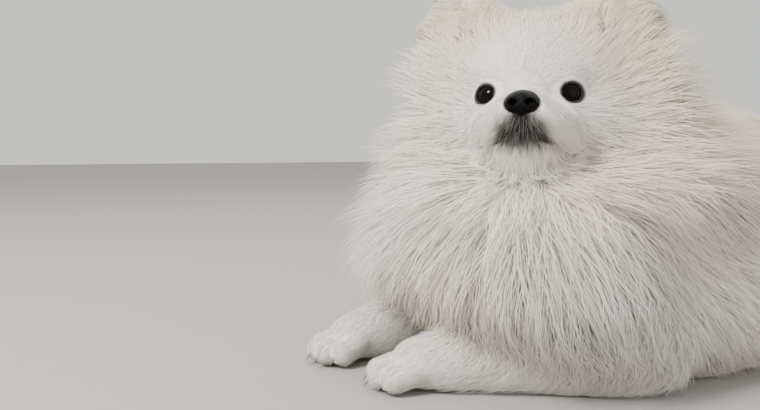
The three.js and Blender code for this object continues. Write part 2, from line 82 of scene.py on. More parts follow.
class Slot(Enum):
    """The record's material slots."""

    LONG_COAT = "long_coat"
    SHORT_COAT = "short_coat"
    EYE = "eye"
    NOSE = "nose_leather"
    CLAW = "claw"


class Mark(Enum):
    """Names of the values that the skin and the coat carry from point to point."""

    TIP = "tip"
    TONE = "tone"
    WARM = "warm"
    DARK = "dark"


def ease(low: float, high: float, value: Array) -> Array:
    """A smooth step from 0 at low to 1 at high."""
    t = np.clip((value - low) / (high - low), 0.0, 1.0)
    return t * t * (3 - 2 * t)


def lerp(start: Array, end: Array, share: Array) -> Array:
    """The value that share of the way from start to end."""
    return start + (end - start) * share


def length_of(vectors: Array) -> Array:
    """Lengths of row vectors."""
    return np.sqrt(np.einsum("...i,...i->...", vectors, vectors))


def unit(vectors: Array) -> Array:
    """Row vectors brought to length one."""
    return vectors / np.maximum(length_of(vectors), 1e-9)[..., None]


def dot(a: Array, b: Array) -> Array:
    """Row by row dot products."""
    return np.einsum("...i,...i->...", a, b)


def soft_min(a: Array, b: Array, softness: float) -> Array:
    """The lesser of two distances, run together with a fillet of that softness."""
    near = np.maximum(softness - np.abs(a - b), 0) / softness
    return np.minimum(a, b) - near * near * softness / 4


def joined(distances: Sequence[Array], softness: float) -> Array:
    """The distance from several forms run together."""
    return reduce(lambda whole, one: soft_min(whole, one, softness), distances)


def soft_max(a: Array, b: Array, softness: float) -> Array:
    """The greater of two distances, run together with a fillet of that softness."""
    return -soft_min(-a, -b, softness)


@dataclass(frozen=True)
class Egg:
    """An ellipsoid of flesh."""

    centre: Triple
    radii: Triple

    def distance(self, points: Array) -> Array:
        """Signed distance of each point, negative inside.

        Args:
            points: points in the egg's frame.

        Returns:
            The distances.
        """
        q = (points - np.array(self.centre)) / np.array(self.radii)
        near = length_of(q)
        far = length_of(q / np.array(self.radii))
        return near * (near - 1) / np.maximum(far, 1e-6)


@dataclass(frozen=True)
class Limb:
    """A round cone of flesh between two points."""

    start: Triple
    end: Triple
    start_radius: float
    end_radius: float

    def distance(self, points: Array) -> Array:
        """Signed distance of each point, negative inside.

        Args:
            points: points in the limb's frame.

        Returns:
            The distances.
        """
        start = np.array(self.start)
        axis = np.array(self.end) - start
        along = np.clip((points - start) @ axis / (axis @ axis), 0, 1)
        nearest = start + along[:, None] * axis
        return length_of(points - nearest) - lerp(self.start_radius, self.end_radius, along)


@dataclass(frozen=True)
class Pose:
    """Where a part of the body sits: its position, its turn about z and its tip upward, in degrees."""

    position: Triple = (0.0, 0.0, 0.0)
    turn: float = 0.0
    tip: float = 0.0

    def rotation(self) -> Array:
        """The rotation from the part's own frame to the row frame.

        Returns:
            A matrix of three rows.
        """
        turn = Matrix.Rotation(math.radians(self.turn), 3, "Z")
        tip = Matrix.Rotation(math.radians(-self.tip), 3, "X")
        return np.array(turn @ tip)

    def to_own(self, points: Array) -> Array:
        """Row frame points in the part's own frame."""
        return (points - np.array(self.position)) @ self.rotation()

    def to_row(self, points: Array) -> Array:
        """The part's own points in the row frame."""
        return self.turned(points) + np.array(self.position)

    def turned(self, vectors: Array) -> Array:
        """The part's own directions in the row frame."""
        return vectors @ self.rotation().T


def mirrored(form: Egg | Limb) -> tuple[Egg | Limb, Egg | Limb]:
    """A form and its copy on the other side of the body.

    Args:
        form: an egg or a limb.

    Returns:
        Both forms.
    """
    if isinstance(form, Egg):
        x, y, z = form.centre
        return form, Egg((-x, y, z), form.radii)
    (ax, ay, az), (bx, by, bz) = form.start, form.end
    return form, Limb((-ax, ay, az), (-bx, by, bz), form.start_radius, form.end_radius)


HEAD_POSE = Pose((8.0, -39.0, 138.0), 45.0, 15.0)

# A region's distance past its own reach, so far off that it joins nothing there
BEYOND = 30.0
# The unwrap of a region fills this much of its cell's height on each side of the middle
UNWRAP_HALF = 0.48


@dataclass
class Region:
    """A part of the body with its own flesh, depth of coat and lie of hair, in its own frame."""

    name: str
    slot: Slot
    forms: tuple[Egg | Limb, ...]
    softness: float
    pose: Pose = Pose()
    centre: Triple = (0.0, 0.0, 0.0)
    radius: float = 100.0
    unwrap_axis: int = 1
    cell: Cell = (0.0, 0.0, 1.0, 1.0)
    cover: float = 6.0

    def flesh(self, own: Array) -> Array:
        """Signed distance from the bare flesh."""
        return joined([form.distance(own) for form in self.forms], self.softness)

    def depth(self, own: Array) -> Array:
        """How far the tips of the coat stand off the flesh."""
        return np.full(len(own), 4.0)

    def lie(self, own: Array) -> Array:
        """The way that the hair runs."""
        return np.tile(np.array([0.0, 1.0, -0.3]), (len(own), 1))

    def room(self, points: Array, body: Array, share: Array) -> Array:
        """Cuts the coat back from the places that it keeps clear of."""
        return body

    def warmth(self, own: Array) -> Array:
        """How creamy the coat is, from 0 to 1."""
        return np.full(len(own), 0.15)

    def coat(self, points: Array, share: Array) -> Array:
        """Signed distance from the surface at that share of the coat's depth.

        Args:
            points: points in the row frame.
            share: the share of the coat's depth, for each point.

        Returns:
            The distances, negative inside.
        """
        own = self.pose.to_own(points)
        away = length_of(own - np.array(self.centre)) - self.radius
        near = away < 0
        result = away + BEYOND
        if near.any():
            part = own[near]
            of_depth = share[near]
            body = self.flesh(part) - self.depth(part) * of_depth
            result[near] = self.room(points[near], body, of_depth)
        return result

    def unwrap(self, points: Array) -> Array:
        """Places on the skin's unwrap: the angle round this part's axis and the place along it.

        Args:
            points: points in the row frame.

        Returns:
            Two coordinates for each point, in the region's cell.
        """
        q = (self.pose.to_own(points) - np.array(self.centre)) / self.radius
        along = q[:, self.unwrap_axis]
        a, b = [q[:, i] for i in range(3) if i != self.unwrap_axis]
        round_it = np.arctan2(a, b) / (2 * math.pi) + 0.5
        u, v, width, height = self.cell
        return np.stack([u + width * round_it, v + height * (0.5 + UNWRAP_HALF * along)], axis=1)


@dataclass
class Trunk(Region):
    """Chest, belly, flanks and rump."""

    back: float = 36.0
    flank: float = 43.0
    breast: float = 62.0
    rump: float = 38.0
    mane: float = 24.0
    throat: Triple = (30.0, -62.0, 112.0)

    def depth(self, own: Array) -> Array:
        """Deepest on the breast, shallowest over the back, thinner where it lies on the floor.

        Args:
            own: points in the part's own frame.

        Returns:
            The depth at each point.
        """
        x, y, z = own.T
        side = ease(10, 44, np.abs(x)) * ease(120, 70, z)
        breast = ease(-10, -58, y) * ease(14, 50, z)
        whole = lerp(lerp(self.back, self.flank, side), self.breast, breast)
        whole = lerp(whole, self.rump, ease(110, 165, y))
        mane = self.mane * ease(95, 30, y) * ease(-40, 0, y) * ease(60, 100, z)
        return (whole + mane) * (0.55 + 0.45 * ease(0, 36, z))

    def lie(self, own: Array) -> Array:
        """Away from the throat over the breast and shoulders, then back and down.

        Args:
            own: points in the part's own frame.

        Returns:
            Directions of length one.
        """
        x, y, z = own.T
        away = unit(own - np.array(self.throat))
        fall = -0.3 - 0.75 * ease(14, 60, np.abs(x)) - 0.6 * ease(120, 190, y)
        back = unit(np.stack([0.25 * np.sign(x) * ease(6, 40, np.abs(x)), np.ones_like(y), fall], 1))
        way = lerp(back, away, ease(80, -30, y)[:, None])
        way[:, 2] -= 0.3
        return unit(way)

    def room(self, points: Array, body: Array, share: Array) -> Array:
        """Keeps the breast clear of the face."""
        return off_face(points, body, share)

    def warmth(self, own: Array) -> Array:
        """Creamier along the back and on the rump."""
        low = 0.2 * ease(50, 10, own[:, 2])
        return 0.25 + low + 0.25 * ease(80, 130, own[:, 2]) + 0.15 * ease(60, 170, own[:, 1])


RUFF_FRONT = -12.0
CHIN_LEVEL = -24.0
BIB_SLOPE = 1.25
RUFF_TOP = 44.0
FACE_STEP = 10.0
FACE_SOFTNESS = 12.0
CROWN_STEP = 12.0
CROWN_SOFTNESS = 14.0


def off_face(points: Array, body: Array, share: Array) -> Array:
    """Cuts a coat back behind the face, its roots more than its tips."""
    return soft_max(body, face_room(points) + (1 - share) * FACE_STEP, FACE_SOFTNESS)


def face_room(points: Array) -> Array:
    """Inside (negative) behind the sheet that the ruff's front lies in, which runs out under the chin.

    Args:
        points: points in the row frame.

    Returns:
        The distances.
    """
    q = HEAD_POSE.to_own(points)
    below = np.maximum(0, CHIN_LEVEL - q[:, 2])
    steep = np.where(below > 0, math.hypot(1, BIB_SLOPE), 1.0)
    return (RUFF_FRONT - BIB_SLOPE * below - q[:, 1]) / steep


@dataclass
class Neck(Region):
    """The neck, whose coat is the ruff."""

    ruff: float = 62.0

    def depth(self, own: Array) -> Array:
        """The ruff's depth, running out into the breast."""
        return self.ruff * ease(44, 88, own[:, 2])

    def lie(self, own: Array) -> Array:
        """Out from round the face, swept back, hanging lower down.

        Args:
            own: points in the part's own frame.

        Returns:
            Directions of length one.
        """
        q = HEAD_POSE.to_own(own)
        flat = np.stack([q[:, 0], np.zeros(len(q)), q[:, 2] + 6], axis=1)
        way = unit(flat)
        way[:, 1] = 0.5
        way = HEAD_POSE.turned(way)
        way[:, 2] -= 0.5 * ease(150, 90, own[:, 2])
        return unit(way)

    def room(self, points: Array, body: Array, share: Array) -> Array:
        """Keeps the ruff behind the face and below the ears.

        Args:
            points: points in the row frame.
            body: the signed distance from the coat, for each point.
            share: the share of the coat's depth, for each point.

        Returns:
            The distances after the cuts.
        """
        crown = HEAD_POSE.to_own(points)[:, 2] - RUFF_TOP
        opened = crown + (1 - share) * CROWN_STEP
        return soft_max(off_face(points, body, share), opened, CROWN_SOFTNESS)

    def warmth(self, own: Array) -> Array:
        """Creamier behind the head than under the chin."""
        return 0.2 + 0.35 * ease(-70, 10, own[:, 1])


EYE_OUT = 18.4
EYE_FRONT = 20.0
EYE_UP = 2.0
EYE_RADIUS = 8.1
NOSE_AT = (0.0, -53.0, -12.5)
NOSE_BED = Egg(NOSE_AT, (8.0, 5.6, 6.2))
NOSE_ROOM = Egg(NOSE_AT, (8.6, 6.2, 6.6))
MOUTH = ((0, -54, -26.5), (6, -52, -27.5), (13, -45, -28.5), (19, -35, -28), (24, -22, -25))


def eye_at(side: int) -> Array:
    """The middle of an eye in the head's frame."""
    return np.array([EYE_OUT * side, -EYE_FRONT, EYE_UP])


def gaze(side: int) -> Array:
    """The way that an eye looks, in the head's frame."""
    return unit(np.array([0.34 * side, -1.0, 0.02]))


def mouth_distance(own: Array) -> Array:
    """Distance from the line of the mouth, in the head's frame.

    Args:
        own: points in the part's own frame.

    Returns:
        The distances.
    """
    folded = own.copy()
    folded[:, 0] = np.abs(folded[:, 0])
    limbs = [Limb(a, b, 0, 0).distance(folded) for a, b in zip(MOUTH, MOUTH[1:])]
    philtrum = Limb((0, -56.5, -18), MOUTH[0], 0, 0).distance(folded)
    return np.minimum.reduce([*limbs, philtrum])


def lip_shade(own: Array) -> Array:
    """How dark the hair is round the lips, from 0 to 1, in the head's frame.

    Args:
        own: points in the part's own frame.

    Returns:
        The shade at each point.
    """
    spot = Egg((0, -51, -24), (12, 13, 8.5)).distance(own)
    lips = ease(4.5, 0.5, mouth_distance(own)) * ease(24, 12, np.abs(own[:, 0]))
    return np.clip(ease(3.5, -3, spot) * 0.93 + 0.5 * lips, 0, 1) * ease(-30, -42, own[:, 1])


@dataclass
class Head(Region):
    """Skull, cheeks, muzzle and chin."""

    muzzle: float = 2.6
    crown: float = 13.0
    cheek: float = 17.0
    chin: float = 6.0

    def depth(self, own: Array) -> Array:
        """Short on the muzzle and round the eyes, deep on the crown, the cheeks and the nape.

        Args:
            own: points in the part's own frame.

        Returns:
            The depth at each point.
        """
        x, y, z = own.T
        behind = ease(-36, -8, y)
        crown = self.crown * ease(-30, 8, y) * lerp(0.3, 1.0, ease(-4, 22, z))
        cheek = self.cheek * ease(13, 34, np.abs(x)) * ease(-34, 2, y)
        chin = self.chin * ease(-27, -37, z) * ease(-50, -30, y)
        eyes = np.minimum(*[length_of(own - eye_at(side)) for side in (1, -1)])
        return self.muzzle + np.maximum(behind * np.maximum(crown, cheek) * ease(9, 26, eyes), chin)

    def lie(self, own: Array) -> Array:
        """Back and outward from the bridge of the nose.

        Args:
            own: points in the part's own frame.

        Returns:
            Directions of length one.
        """
        x, y, z = own.T
        way = np.stack([1.15 * x, y + 47, z + 7 - 4 * ease(-20, -34, z)], axis=1)
        return unit(way)

    def warmth(self, own: Array) -> Array:
        """Cool white on the muzzle, creamy on the cheeks."""
        return 0.08 + 0.42 * ease(-30, 6, own[:, 1])


@dataclass
class Ear(Region):
    """A cupped ear with long hair at its edges and its back."""

    side: int = 1
    fringe: float = 24.0
    inside: float = 7.0

    def base(self) -> Array:
        """The foot of the ear."""
        return np.array([30.0 * self.side, 8.0, 24.0])

    def axis(self) -> Array:
        """The way from the foot of the ear to its tip."""
        return unit(np.array([14.0 * self.side, -5.0, 48.0]))

    def outward(self, own: Array) -> Array:
        """Directions out from the ear's axis."""
        q = own - self.base()
        return unit(q - dot(q, self.axis())[:, None] * self.axis())

    def flesh(self, own: Array) -> Array:
        """A cone with a cup taken out of its front."""
        cup = Egg((36.0 * self.side, -12.0, 47.0), (8.0, 12.0, 20.0)).distance(own)
        return soft_max(super().flesh(own), -cup, 3)

    def depth(self, own: Array) -> Array:
        """Long at the edges and behind, short in the cup."""
        front = ease(0.25, 0.85, -self.outward(own)[:, 1])
        return lerp(self.fringe, self.inside, front) * (1 - 0.4 * ease(48, 70, own[:, 2]))

    def lie(self, own: Array) -> Array:
        """Up the ear and out from it.

        Args:
            own: points in the part's own frame.

        Returns:
            Directions of length one.
        """
        tip = ease(40, 66, own[:, 2])[:, None]
        outward = (0.6 + 0.6 * tip) * self.outward(own)
        return unit((1 - 0.5 * tip) * self.axis() + outward + np.array([0.15 * self.side, 0.1, 0]))

    def warmth(self, own: Array) -> Array:
        """The creamiest part of the dog."""
        return np.full(len(own), 0.75)


@dataclass
class Leg(Region):
    """A lower leg lying on the floor, toes to its own -Y."""

    hair: float = 7.0
    feather: float = 8.0

    def depth(self, own: Array) -> Array:
        """Close on top and in front, feathered behind."""
        return self.hair + self.feather * ease(-50, 5, own[:, 1])

    def lie(self, own: Array) -> Array:
        """Down the leg to the paw, falling to the sides.

        Args:
            own: points in the part's own frame.

        Returns:
            Directions of length one.
        """
        way = np.tile(np.array([0.0, -1.0, -0.35]), (len(own), 1))
        way[:, 0] = 0.03 * own[:, 0]
        return unit(way)

    def warmth(self, own: Array) -> Array:
        """Hardly creamy."""
        return np.full(len(own), 0.1)


@dataclass
class Paw(Leg):
    """A paw with four toes."""

    hair: float = 1.9
    feather: float = 0.0

    def depth(self, own: Array) -> Array:
        """Close all over, a little deeper over the wrist."""
        return self.hair + 3.0 * ease(-16, 2, own[:, 1])


PAW_LENGTH = 44.0
TOES = tuple((x, PAW_LENGTH - 6.5 - (6 if abs(x) > 8 else 0)) for x in (-11.2, -4.0, 4.0, 11.2))
FOREARM = 82.0
HIND_FOOT = 32.0


def leg_regions() -> list[Region]:
    """The four lower legs and the four paws.

    Returns:
        Leg and paw in turn, for each limb.
    """
    toes = tuple(Limb((x * 0.78, -20, 11), (x, -front, 7.5), 5.4, 5.3) for x, front in TOES)
    pad = Egg((0, -14, 12.5), (13, 17, 12))
    made: list[Region] = []
    places = [
        ("fore", 1, Pose((55, -22, 0), -23.8), FOREARM, 0.0),
        ("fore", -1, Pose((-55, -22, 0), 6.0), FOREARM, 0.25),
        ("hind", 1, Pose((50, 150, 0), 4.0), HIND_FOOT, 0.5),
        ("hind", -1, Pose((-50, 150, 0), -4.0), HIND_FOOT, 0.75),
    ]
    for kind, side, pose, length, shift in places:
        name = f"{kind}_{'left' if side > 0 else 'right'}"
        if kind == "fore":
            forms = (
                Limb((0, 10, 16), (0, 4 - length, 12.5), 15, 11),
                Egg((0, -length / 2, 13), (13.5, 42, 13)),
            )
        else:
            forms = (
                Limb((0, 4, 15), (0, -length, 11), 13, 10),
                Limb((0, 0, 18), (0, -14, 34), 12, 14),
            )
        leg = Leg(f"{name}_leg", Slot.SHORT_COAT, forms, 8.0, pose, (0, -length / 2, 14), 74.0)
        leg.cell, leg.cover = (shift, 0.0, 0.24, 0.12), 3.4
        wrist = np.array(pose.position) + pose.turned(np.array([0.0, -length, 0.0]))
        paw_pose = Pose(tuple(wrist), pose.turn)
        paw = Paw(f"{name}_paw", Slot.SHORT_COAT, (pad, *toes), 1.5, paw_pose, (0, -18, 10), 46.0)
        paw.cell, paw.cover = (shift, 0.13, 0.24, 0.1), 4.0
        made += [leg, paw]
    return made


def trunk_region() -> Trunk:
    """The trunk with its flesh.

    Returns:
        The region.
    """
    forms = (
        Egg((0, 12, 58), (44, 72, 54)),
        Egg((0, -36, 60), (33, 28, 36)),
        Egg((0, 80, 58), (39, 60, 49)),
        Egg((0, 124, 56), (41, 42, 50)),
        *mirrored(Egg((34, -26, 56), (18, 27, 36))),
        *mirrored(Egg((38, 112, 42), (20, 40, 36))),
        *mirrored(Egg((36, 42, 22), (24, 64, 24))),
    )
    trunk = Trunk("trunk", Slot.LONG_COAT, forms, 26.0, Pose(), (0, 50, 60), 230.0, cover=4.6)
    trunk.cell = (0.0, 0.62, 1.0, 0.23)
    return trunk


def neck_region() -> Neck:
    """The neck with its flesh.

    Returns:
        The region.
    """
    forms = (Limb((0, -20, 86), (8, -33, 136), 34, 33),)
    neck = Neck("neck", Slot.LONG_COAT, forms, 26.0, Pose(), (4, -26, 110), 140.0, cover=5.2)
    neck.unwrap_axis = 2
    neck.cell = (0.0, 0.44, 1.0, 0.17)
    return neck


def head_region() -> Head:
    """The head with its flesh, in its own frame.

    Returns:
        The region.
    """
    forms = (
        Egg((0, 6, 8), (36, 37, 40)),
        *mirrored(Egg((22, -3, -10), (17, 20, 16))),
        *mirrored(Egg((13, -17, 12), (11, 9, 8))),
        Limb((0, -16, -8), (0, -44, -12), 17, 9.5),
        *mirrored(Egg((8.5, -41, -19), (11.5, 11, 9))),
        *mirrored(Egg((15, -29, -19), (11, 13, 10))),
        Limb((0, -8, -22), (0, -37, -31), 16, 9.5),
    )
    head = Head("head", Slot.LONG_COAT, forms, 9.0, HEAD_POSE, (0, -10, 0), 92.0, cover=5.0)
    head.cell = (0.0, 0.24, 0.6, 0.19)
    return head


def ear_regions() -> list[Ear]:
    """Both ears, in the head's frame.

    Returns:
        The left ear and the right ear.
    """
    made = []
    for side, u in ((1, 0.62), (-1, 0.81)):
        forms = (Limb((30 * side, 8, 24), (44 * side, 3, 72), 17, 3.5),)
        name = f"ear_{'left' if side > 0 else 'right'}"
        ear = Ear(name, Slot.LONG_COAT, forms, 6.0, HEAD_POSE, (37 * side, 5, 46), 56.0, side=side)
        ear.unwrap_axis = 2
        ear.cell = (u, 0.24, 0.18, 0.19)
        made.append(ear)
    return made


FLOOR_ROOM = 1.2
BOX_ROOM = 15.0
BOX_SOFTNESS = 8.0
REGION_BLEND = 9.0


def kept_in(points: Array) -> Array:
    """Points held above the floor and, by a soft limit, near the solids' box.

    Args:
        points: points in the row frame.

    Returns:
        The points, moved where they went too far.
    """
    low, high = (np.array(corner) / METRES for corner in CAD_BOX)
    free = BOX_ROOM - BOX_SOFTNESS
    above = np.maximum(points - high - free, 0)
    below = np.maximum(low - free - points, 0)
    below[..., 2] = 0
    held = points
    for way, past in ((-1, above), (1, below)):
        held = held + way * (past - BOX_SOFTNESS * np.tanh(past / BOX_SOFTNESS))
    held[..., 2] = np.maximum(held[..., 2], FLOOR_ROOM)
    return held


@dataclass
class Body:
    """All the regions run together, and the surfaces and the lie of the coat over them."""

    regions: list[Region]
    probe: float = 0.6
    longest_step: float = 9.0

    def coats(self, points: Array, share: Array) -> Array:
        """The signed distance from every region's coat, one row for each region."""
        return np.stack([region.coat(points, share) for region in self.regions])

    def surface(self, points: Array, share: Array) -> Array:
        """The signed distance from the whole coat at a share of its depth."""
        return joined(self.coats(points, share), REGION_BLEND)

    def slope(self, points: Array, share: Array) -> tuple[Array, Array]:
        """The distance at each point and the way in which it grows.

        Args:
            points: points in the row frame.
            share: the share of the coat's depth, for each point.

        Returns:
            The distances, and the slopes as vectors.
        """
        here = self.surface(points, share)
        shifted = [self.surface(points + way, share) for way in self.probe * np.eye(3)]
        return here, np.stack([(there - here) / self.probe for there in shifted], axis=1)

    def settle(self, points: Array, share: Array, rounds: int = 2) -> tuple[Array, Array]:
        """Moves points onto a surface of the coat.

        Args:
            points: where the points start.
            share: the share of the coat's depth, for each point.
            rounds: how often each point is moved.

        Returns:
            The moved points, and the surface's normals by them.
        """
        normal = np.zeros_like(points)
        for _ in range(rounds):
            here, slope = self.slope(points, share)
            steep = np.maximum(dot(slope, slope), 0.25)
            step = np.clip(here / steep, -self.longest_step, self.longest_step)
            points = points - slope * step[:, None]
            normal = unit(slope)
        return kept_in(points), normal

    def cream(self, points: Array) -> Array:
        """How creamy skin and hair are: the region's own share, in wide soft patches.

        Args:
            points: points in the row frame.

        Returns:
            The share of cream at each point, from 0 to 1.
        """
        warm = self.mixed(points, np.full(len(points), SKIN_SHARE), "warmth")
        x, y, z = points.T
        patch = np.sin(x / 17 + 1.3 * np.sin(z / 23)) + np.sin(y / 21 + z / 13 + 2)
        return np.clip(1.6 * warm + 0.14 * patch * ease(0, 0.3, warm), 0, 1)

    def mixed(self, points: Array, share: Array, what: str) -> Array:
        """A value of the regions, each counted by how near its coat is.

        Args:
            points: where the value is wanted.
            share: the share of the coat's depth, for each point.
            what: the region's method that gives the value.

        Returns:
            The value at each point.
        """
        every = self.coats(points, share)
        nearest = every.min(axis=0)
        total = 0
        weights = np.zeros(len(points))
        for region, near in zip(self.regions, every):
            weight = np.exp(-np.minimum(near - nearest, 60) / 5)
            value = getattr(region, what)(region.pose.to_own(points))
            if value.ndim == 2:
                value = region.pose.turned(value)
                total = total + value * weight[:, None]
            else:
                total = total + value * weight
            weights += weight
        return total / (weights[:, None] if np.ndim(total) == 2 else weights)

    def owner(self, points: Array, share: Array) -> Array:
        """The number of the region that each point belongs to."""
        return self.coats(points, share).argmin(axis=0)


def polygons_of(
    field_at: Callable[[Array], Array], low: Array | Triple, high: Array | Triple, voxel: float
) -> tuple[Array, Array]:
    """The closed surface where a field is zero.

    Args:
        field_at: gives the field's value at row points.
        low: the lowest corner of the box that is looked through.
        high: its highest corner.
        voxel: the spacing of the samples.

    Returns:
        Points and four-cornered faces, with the faces turned outward.
    """
    axes = [np.arange(a, b + voxel, voxel) for a, b in zip(low, high)]
    grid = np.stack(np.meshgrid(*axes, indexing="ij"), axis=-1).reshape(-1, 3)
    values = np.concatenate([field_at(part) for part in np.array_split(grid, 24)])
    volume = openvdb.FloatGrid(50.0)
    volume.copyFromArray(values.reshape([len(axis) for axis in axes]).astype(np.float32))
    points, quads = volume.convertToQuads(0.0)
    points = points * voxel + np.array([axis[0] for axis in axes])
    quads = quads.astype(np.int64)
    corner = points[quads[:, :3]]
    normal = unit(np.cross(corner[:, 1] - corner[:, 0], corner[:, 2] - corner[:, 0]))
    probe = corner.mean(axis=1)
    step = field_at(probe + normal * 0.5) - field_at(probe - normal * 0.5)
    return points, quads if np.median(step) > 0 else quads[:, ::-1]


def closed_tube(rings: int, sides: int) -> Array:
    """Triangles of a tube of rings, closed on the two points that follow the rings.

    Args:
        rings: how many rings there are.
        sides: how many points each ring has.

    Returns:
        Rows of three point numbers.
    """
    made = []
    for start in range(0, (rings - 1) * sides, sides):
        for j in range(sides):
            a, b = start + j, start + (j + 1) % sides
            made += [[a, b, b + sides], [a, b + sides, a + sides]]
    first, last = rings * sides, (rings - 1) * sides
    for j in range(sides):
        follow = (j + 1) % sides
        made += [[follow, j, first], [last + j, last + follow, first + 1]]
    return np.array(made)


def make_mesh(name: str, points: Array, faces: Array) -> bpy.types.Object:
    """Adds a mesh to the scene.

    Args:
        name: the object's name.
        points: its points in millimetres.
        faces: rows of point numbers, all of one length.

    Returns:
        The new object.
    """
    mesh = bpy.data.meshes.new(name)
    corners = faces.shape[1]
    mesh.vertices.add(len(points))
    mesh.vertices.foreach_set("co", (points * METRES).astype(np.float32).ravel())
    mesh.loops.add(faces.size)
    mesh.loops.foreach_set("vertex_index", faces.astype(np.int32).ravel())
    mesh.polygons.add(len(faces))
    mesh.polygons.foreach_set("loop_start", np.arange(len(faces), dtype=np.int32) * corners)
    mesh.polygons.foreach_set("use_smooth", np.ones(len(faces), bool))
    mesh.update(calc_edges=True)
    mesh.validate()
    made = bpy.data.objects.new(name, mesh)
    bpy.context.scene.collection.objects.link(made)
    return made


def mark(piece: bpy.types.Object, name: Mark, values: Array) -> None:
    """Stores a value for each point of a piece."""
    layer = piece.data.attributes.new(name.value, "FLOAT", "POINT")
    layer.data.foreach_set("value", values.astype(np.float32))


def declare(piece: bpy.types.Object, slot: Slot, *nodes: str) -> None:
    """Ties a piece to the dog's body and hides the nodes that it stands for.

    Args:
        piece: the piece.
        slot: its material slot; not used.
        nodes: the nodes that it is seen in place of.
    """
    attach(piece, "root")
    if nodes:
        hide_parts(*nodes)


FLOAT = "NodeSocketFloat"
COLOUR = "NodeSocketColor"


class Graph:
    """Adds and joins shader nodes in one tree."""

    def __init__(self, tree: bpy.types.NodeTree) -> None:
        """Starts on a tree."""
        self.tree = tree

    def add(self, kind: str, **values: object) -> bpy.types.Node:
        """Adds a node and sets its properties.

        Args:
            kind: the node's type.
            values: its properties by name.

        Returns:
            The new node.
        """
        node = self.tree.nodes.new(kind)
        for name, value in values.items():
            setattr(node, name, value)
        return node

    def join(self, source: bpy.types.NodeSocket, target: bpy.types.NodeSocket) -> None:
        """Links two sockets."""
        self.tree.links.new(source, target)

    def feed(self, target: bpy.types.NodeSocket, value: object) -> None:
        """Links a socket to another socket, or sets its value.

        Args:
            target: the socket that is fed.
            value: another socket, or a value.
        """
        if isinstance(value, bpy.types.NodeSocket):
            self.join(value, target)
        else:
            target.default_value = value

    def math(self, operation: str, *values: object) -> bpy.types.NodeSocket:
        """One step of arithmetic.

        Args:
            operation: the name of the step.
            values: sockets or values, in order.

        Returns:
            The socket with the result.
        """
        node = self.add("ShaderNodeMath", operation=operation)
        for socket, value in zip(node.inputs, values):
            self.feed(socket, value)
        return node.outputs[0]

    def mix(self, share: object, a: object, b: object, blend: str = "MIX") -> bpy.types.NodeSocket:
        """Two colours mixed.

        Args:
            share: how much of the second colour there is.
            a: the first colour.
            b: the second colour.
            blend: how they are blended.

        Returns:
            The socket with the mixed colour.
        """
        node = self.add("ShaderNodeMix", data_type="RGBA", blend_type=blend)
        self.feed(node.inputs["Factor"], share)
        self.feed(node.inputs[6], a)
        self.feed(node.inputs[7], b)
        return node.outputs[2]

    def value(self, name: Mark) -> bpy.types.NodeSocket:
        """A value stored on the points."""
        return self.add("ShaderNodeAttribute", attribute_name=name.value).outputs["Fac"]


def new_group(
    name: str, inputs: dict[str, tuple[str, float]], outputs: dict[str, str]
) -> tuple[bpy.types.NodeTree, Graph, bpy.types.Node, bpy.types.Node]:
    """Starts a shader node group.

    Args:
        name: the group's name.
        inputs: each input's socket type and value.
        outputs: each output's socket type.

    Returns:
        The group, its graph, its input node and its output node.
    """
    group = bpy.data.node_groups.new(name, "ShaderNodeTree")
    for title, (kind, value) in inputs.items():
        socket = group.interface.new_socket(title, in_out="INPUT", socket_type=kind)
        socket.default_value = value
    for title, kind in outputs.items():
        group.interface.new_socket(title, in_out="OUTPUT", socket_type=kind)
    graph = Graph(group)
    return group, graph, graph.add("NodeGroupInput"), graph.add("NodeGroupOutput")


@dataclass(frozen=True)
class CoatColours:
    """Colours of hair and of dark skin, with painted shade at the roots of the hair."""

    # root is painted shade: a darker beige that the hair takes towards its roots, where the coat shades
    # itself
    root: Colour = (0.84, 0.815, 0.73, 1)
    white: Colour = (0.945, 0.955, 0.925, 1)
    cream: Colour = (0.87, 0.745, 0.46, 1)
    black: Colour = (0.011, 0.009, 0.009, 1)
    # How quickly the painted root shade gives way to the outer colour along the hair
    root_shade_fade: float = 0.6
    tone_base: float = 0.82
    tone_range: float = 0.22

    def group(self) -> bpy.types.NodeTree:
        """The colour of coat and skin from the four values that they carry, with painted shade towards
        the roots of the hair.

        Returns:
            The node group.
        """
        inputs = {name.value.title(): (FLOAT, 0.5) for name in Mark}
        group, graph, taken, given = new_group("Coat colour", inputs, {"Color": COLOUR})
        outer = graph.mix(taken.outputs["Warm"], self.white, self.cream)
        # Painted shade: the hair darkens from its tip towards its root
        rise = graph.math("POWER", taken.outputs["Tip"], self.root_shade_fade)
        hair = graph.mix(rise, self.root, outer)
        light = graph.math("MULTIPLY_ADD", taken.outputs["Tone"], self.tone_range, self.tone_base)
        shade = graph.add("ShaderNodeCombineColor")
        for socket in shade.inputs:
            graph.join(light, socket)
        toned = graph.mix(1.0, hair, shade.outputs[0], "MULTIPLY")
        whole = graph.mix(taken.outputs["Dark"], toned, self.black)
        graph.join(whole, given.inputs["Color"])
        return group


def grain_group() -> bpy.types.NodeTree:
    """A fine uneven height for leather, horn and skin.

    Returns:
        The node group.
    """
    inputs = {"Scale": (FLOAT, 400.0), "Cells": (FLOAT, 0.5)}
    group, graph, taken, given = new_group("Fine grain", inputs, {"Height": FLOAT})
    place = graph.add("ShaderNodeTexCoord").outputs["Object"]
    noise = graph.add("ShaderNodeTexNoise")
    cells = graph.add("ShaderNodeTexVoronoi", feature="DISTANCE_TO_EDGE")
    for node in (noise, cells):
        graph.join(place, node.inputs["Vector"])
        graph.join(taken.outputs["Scale"], node.inputs["Scale"])
    pebble = graph.math("MULTIPLY", cells.outputs["Distance"], taken.outputs["Cells"])
    graph.join(graph.math("ADD", noise.outputs["Fac"], pebble), given.inputs["Height"])
    return group


# How deep the fine grain is, in metres
BUMP_DEPTH = 0.0006


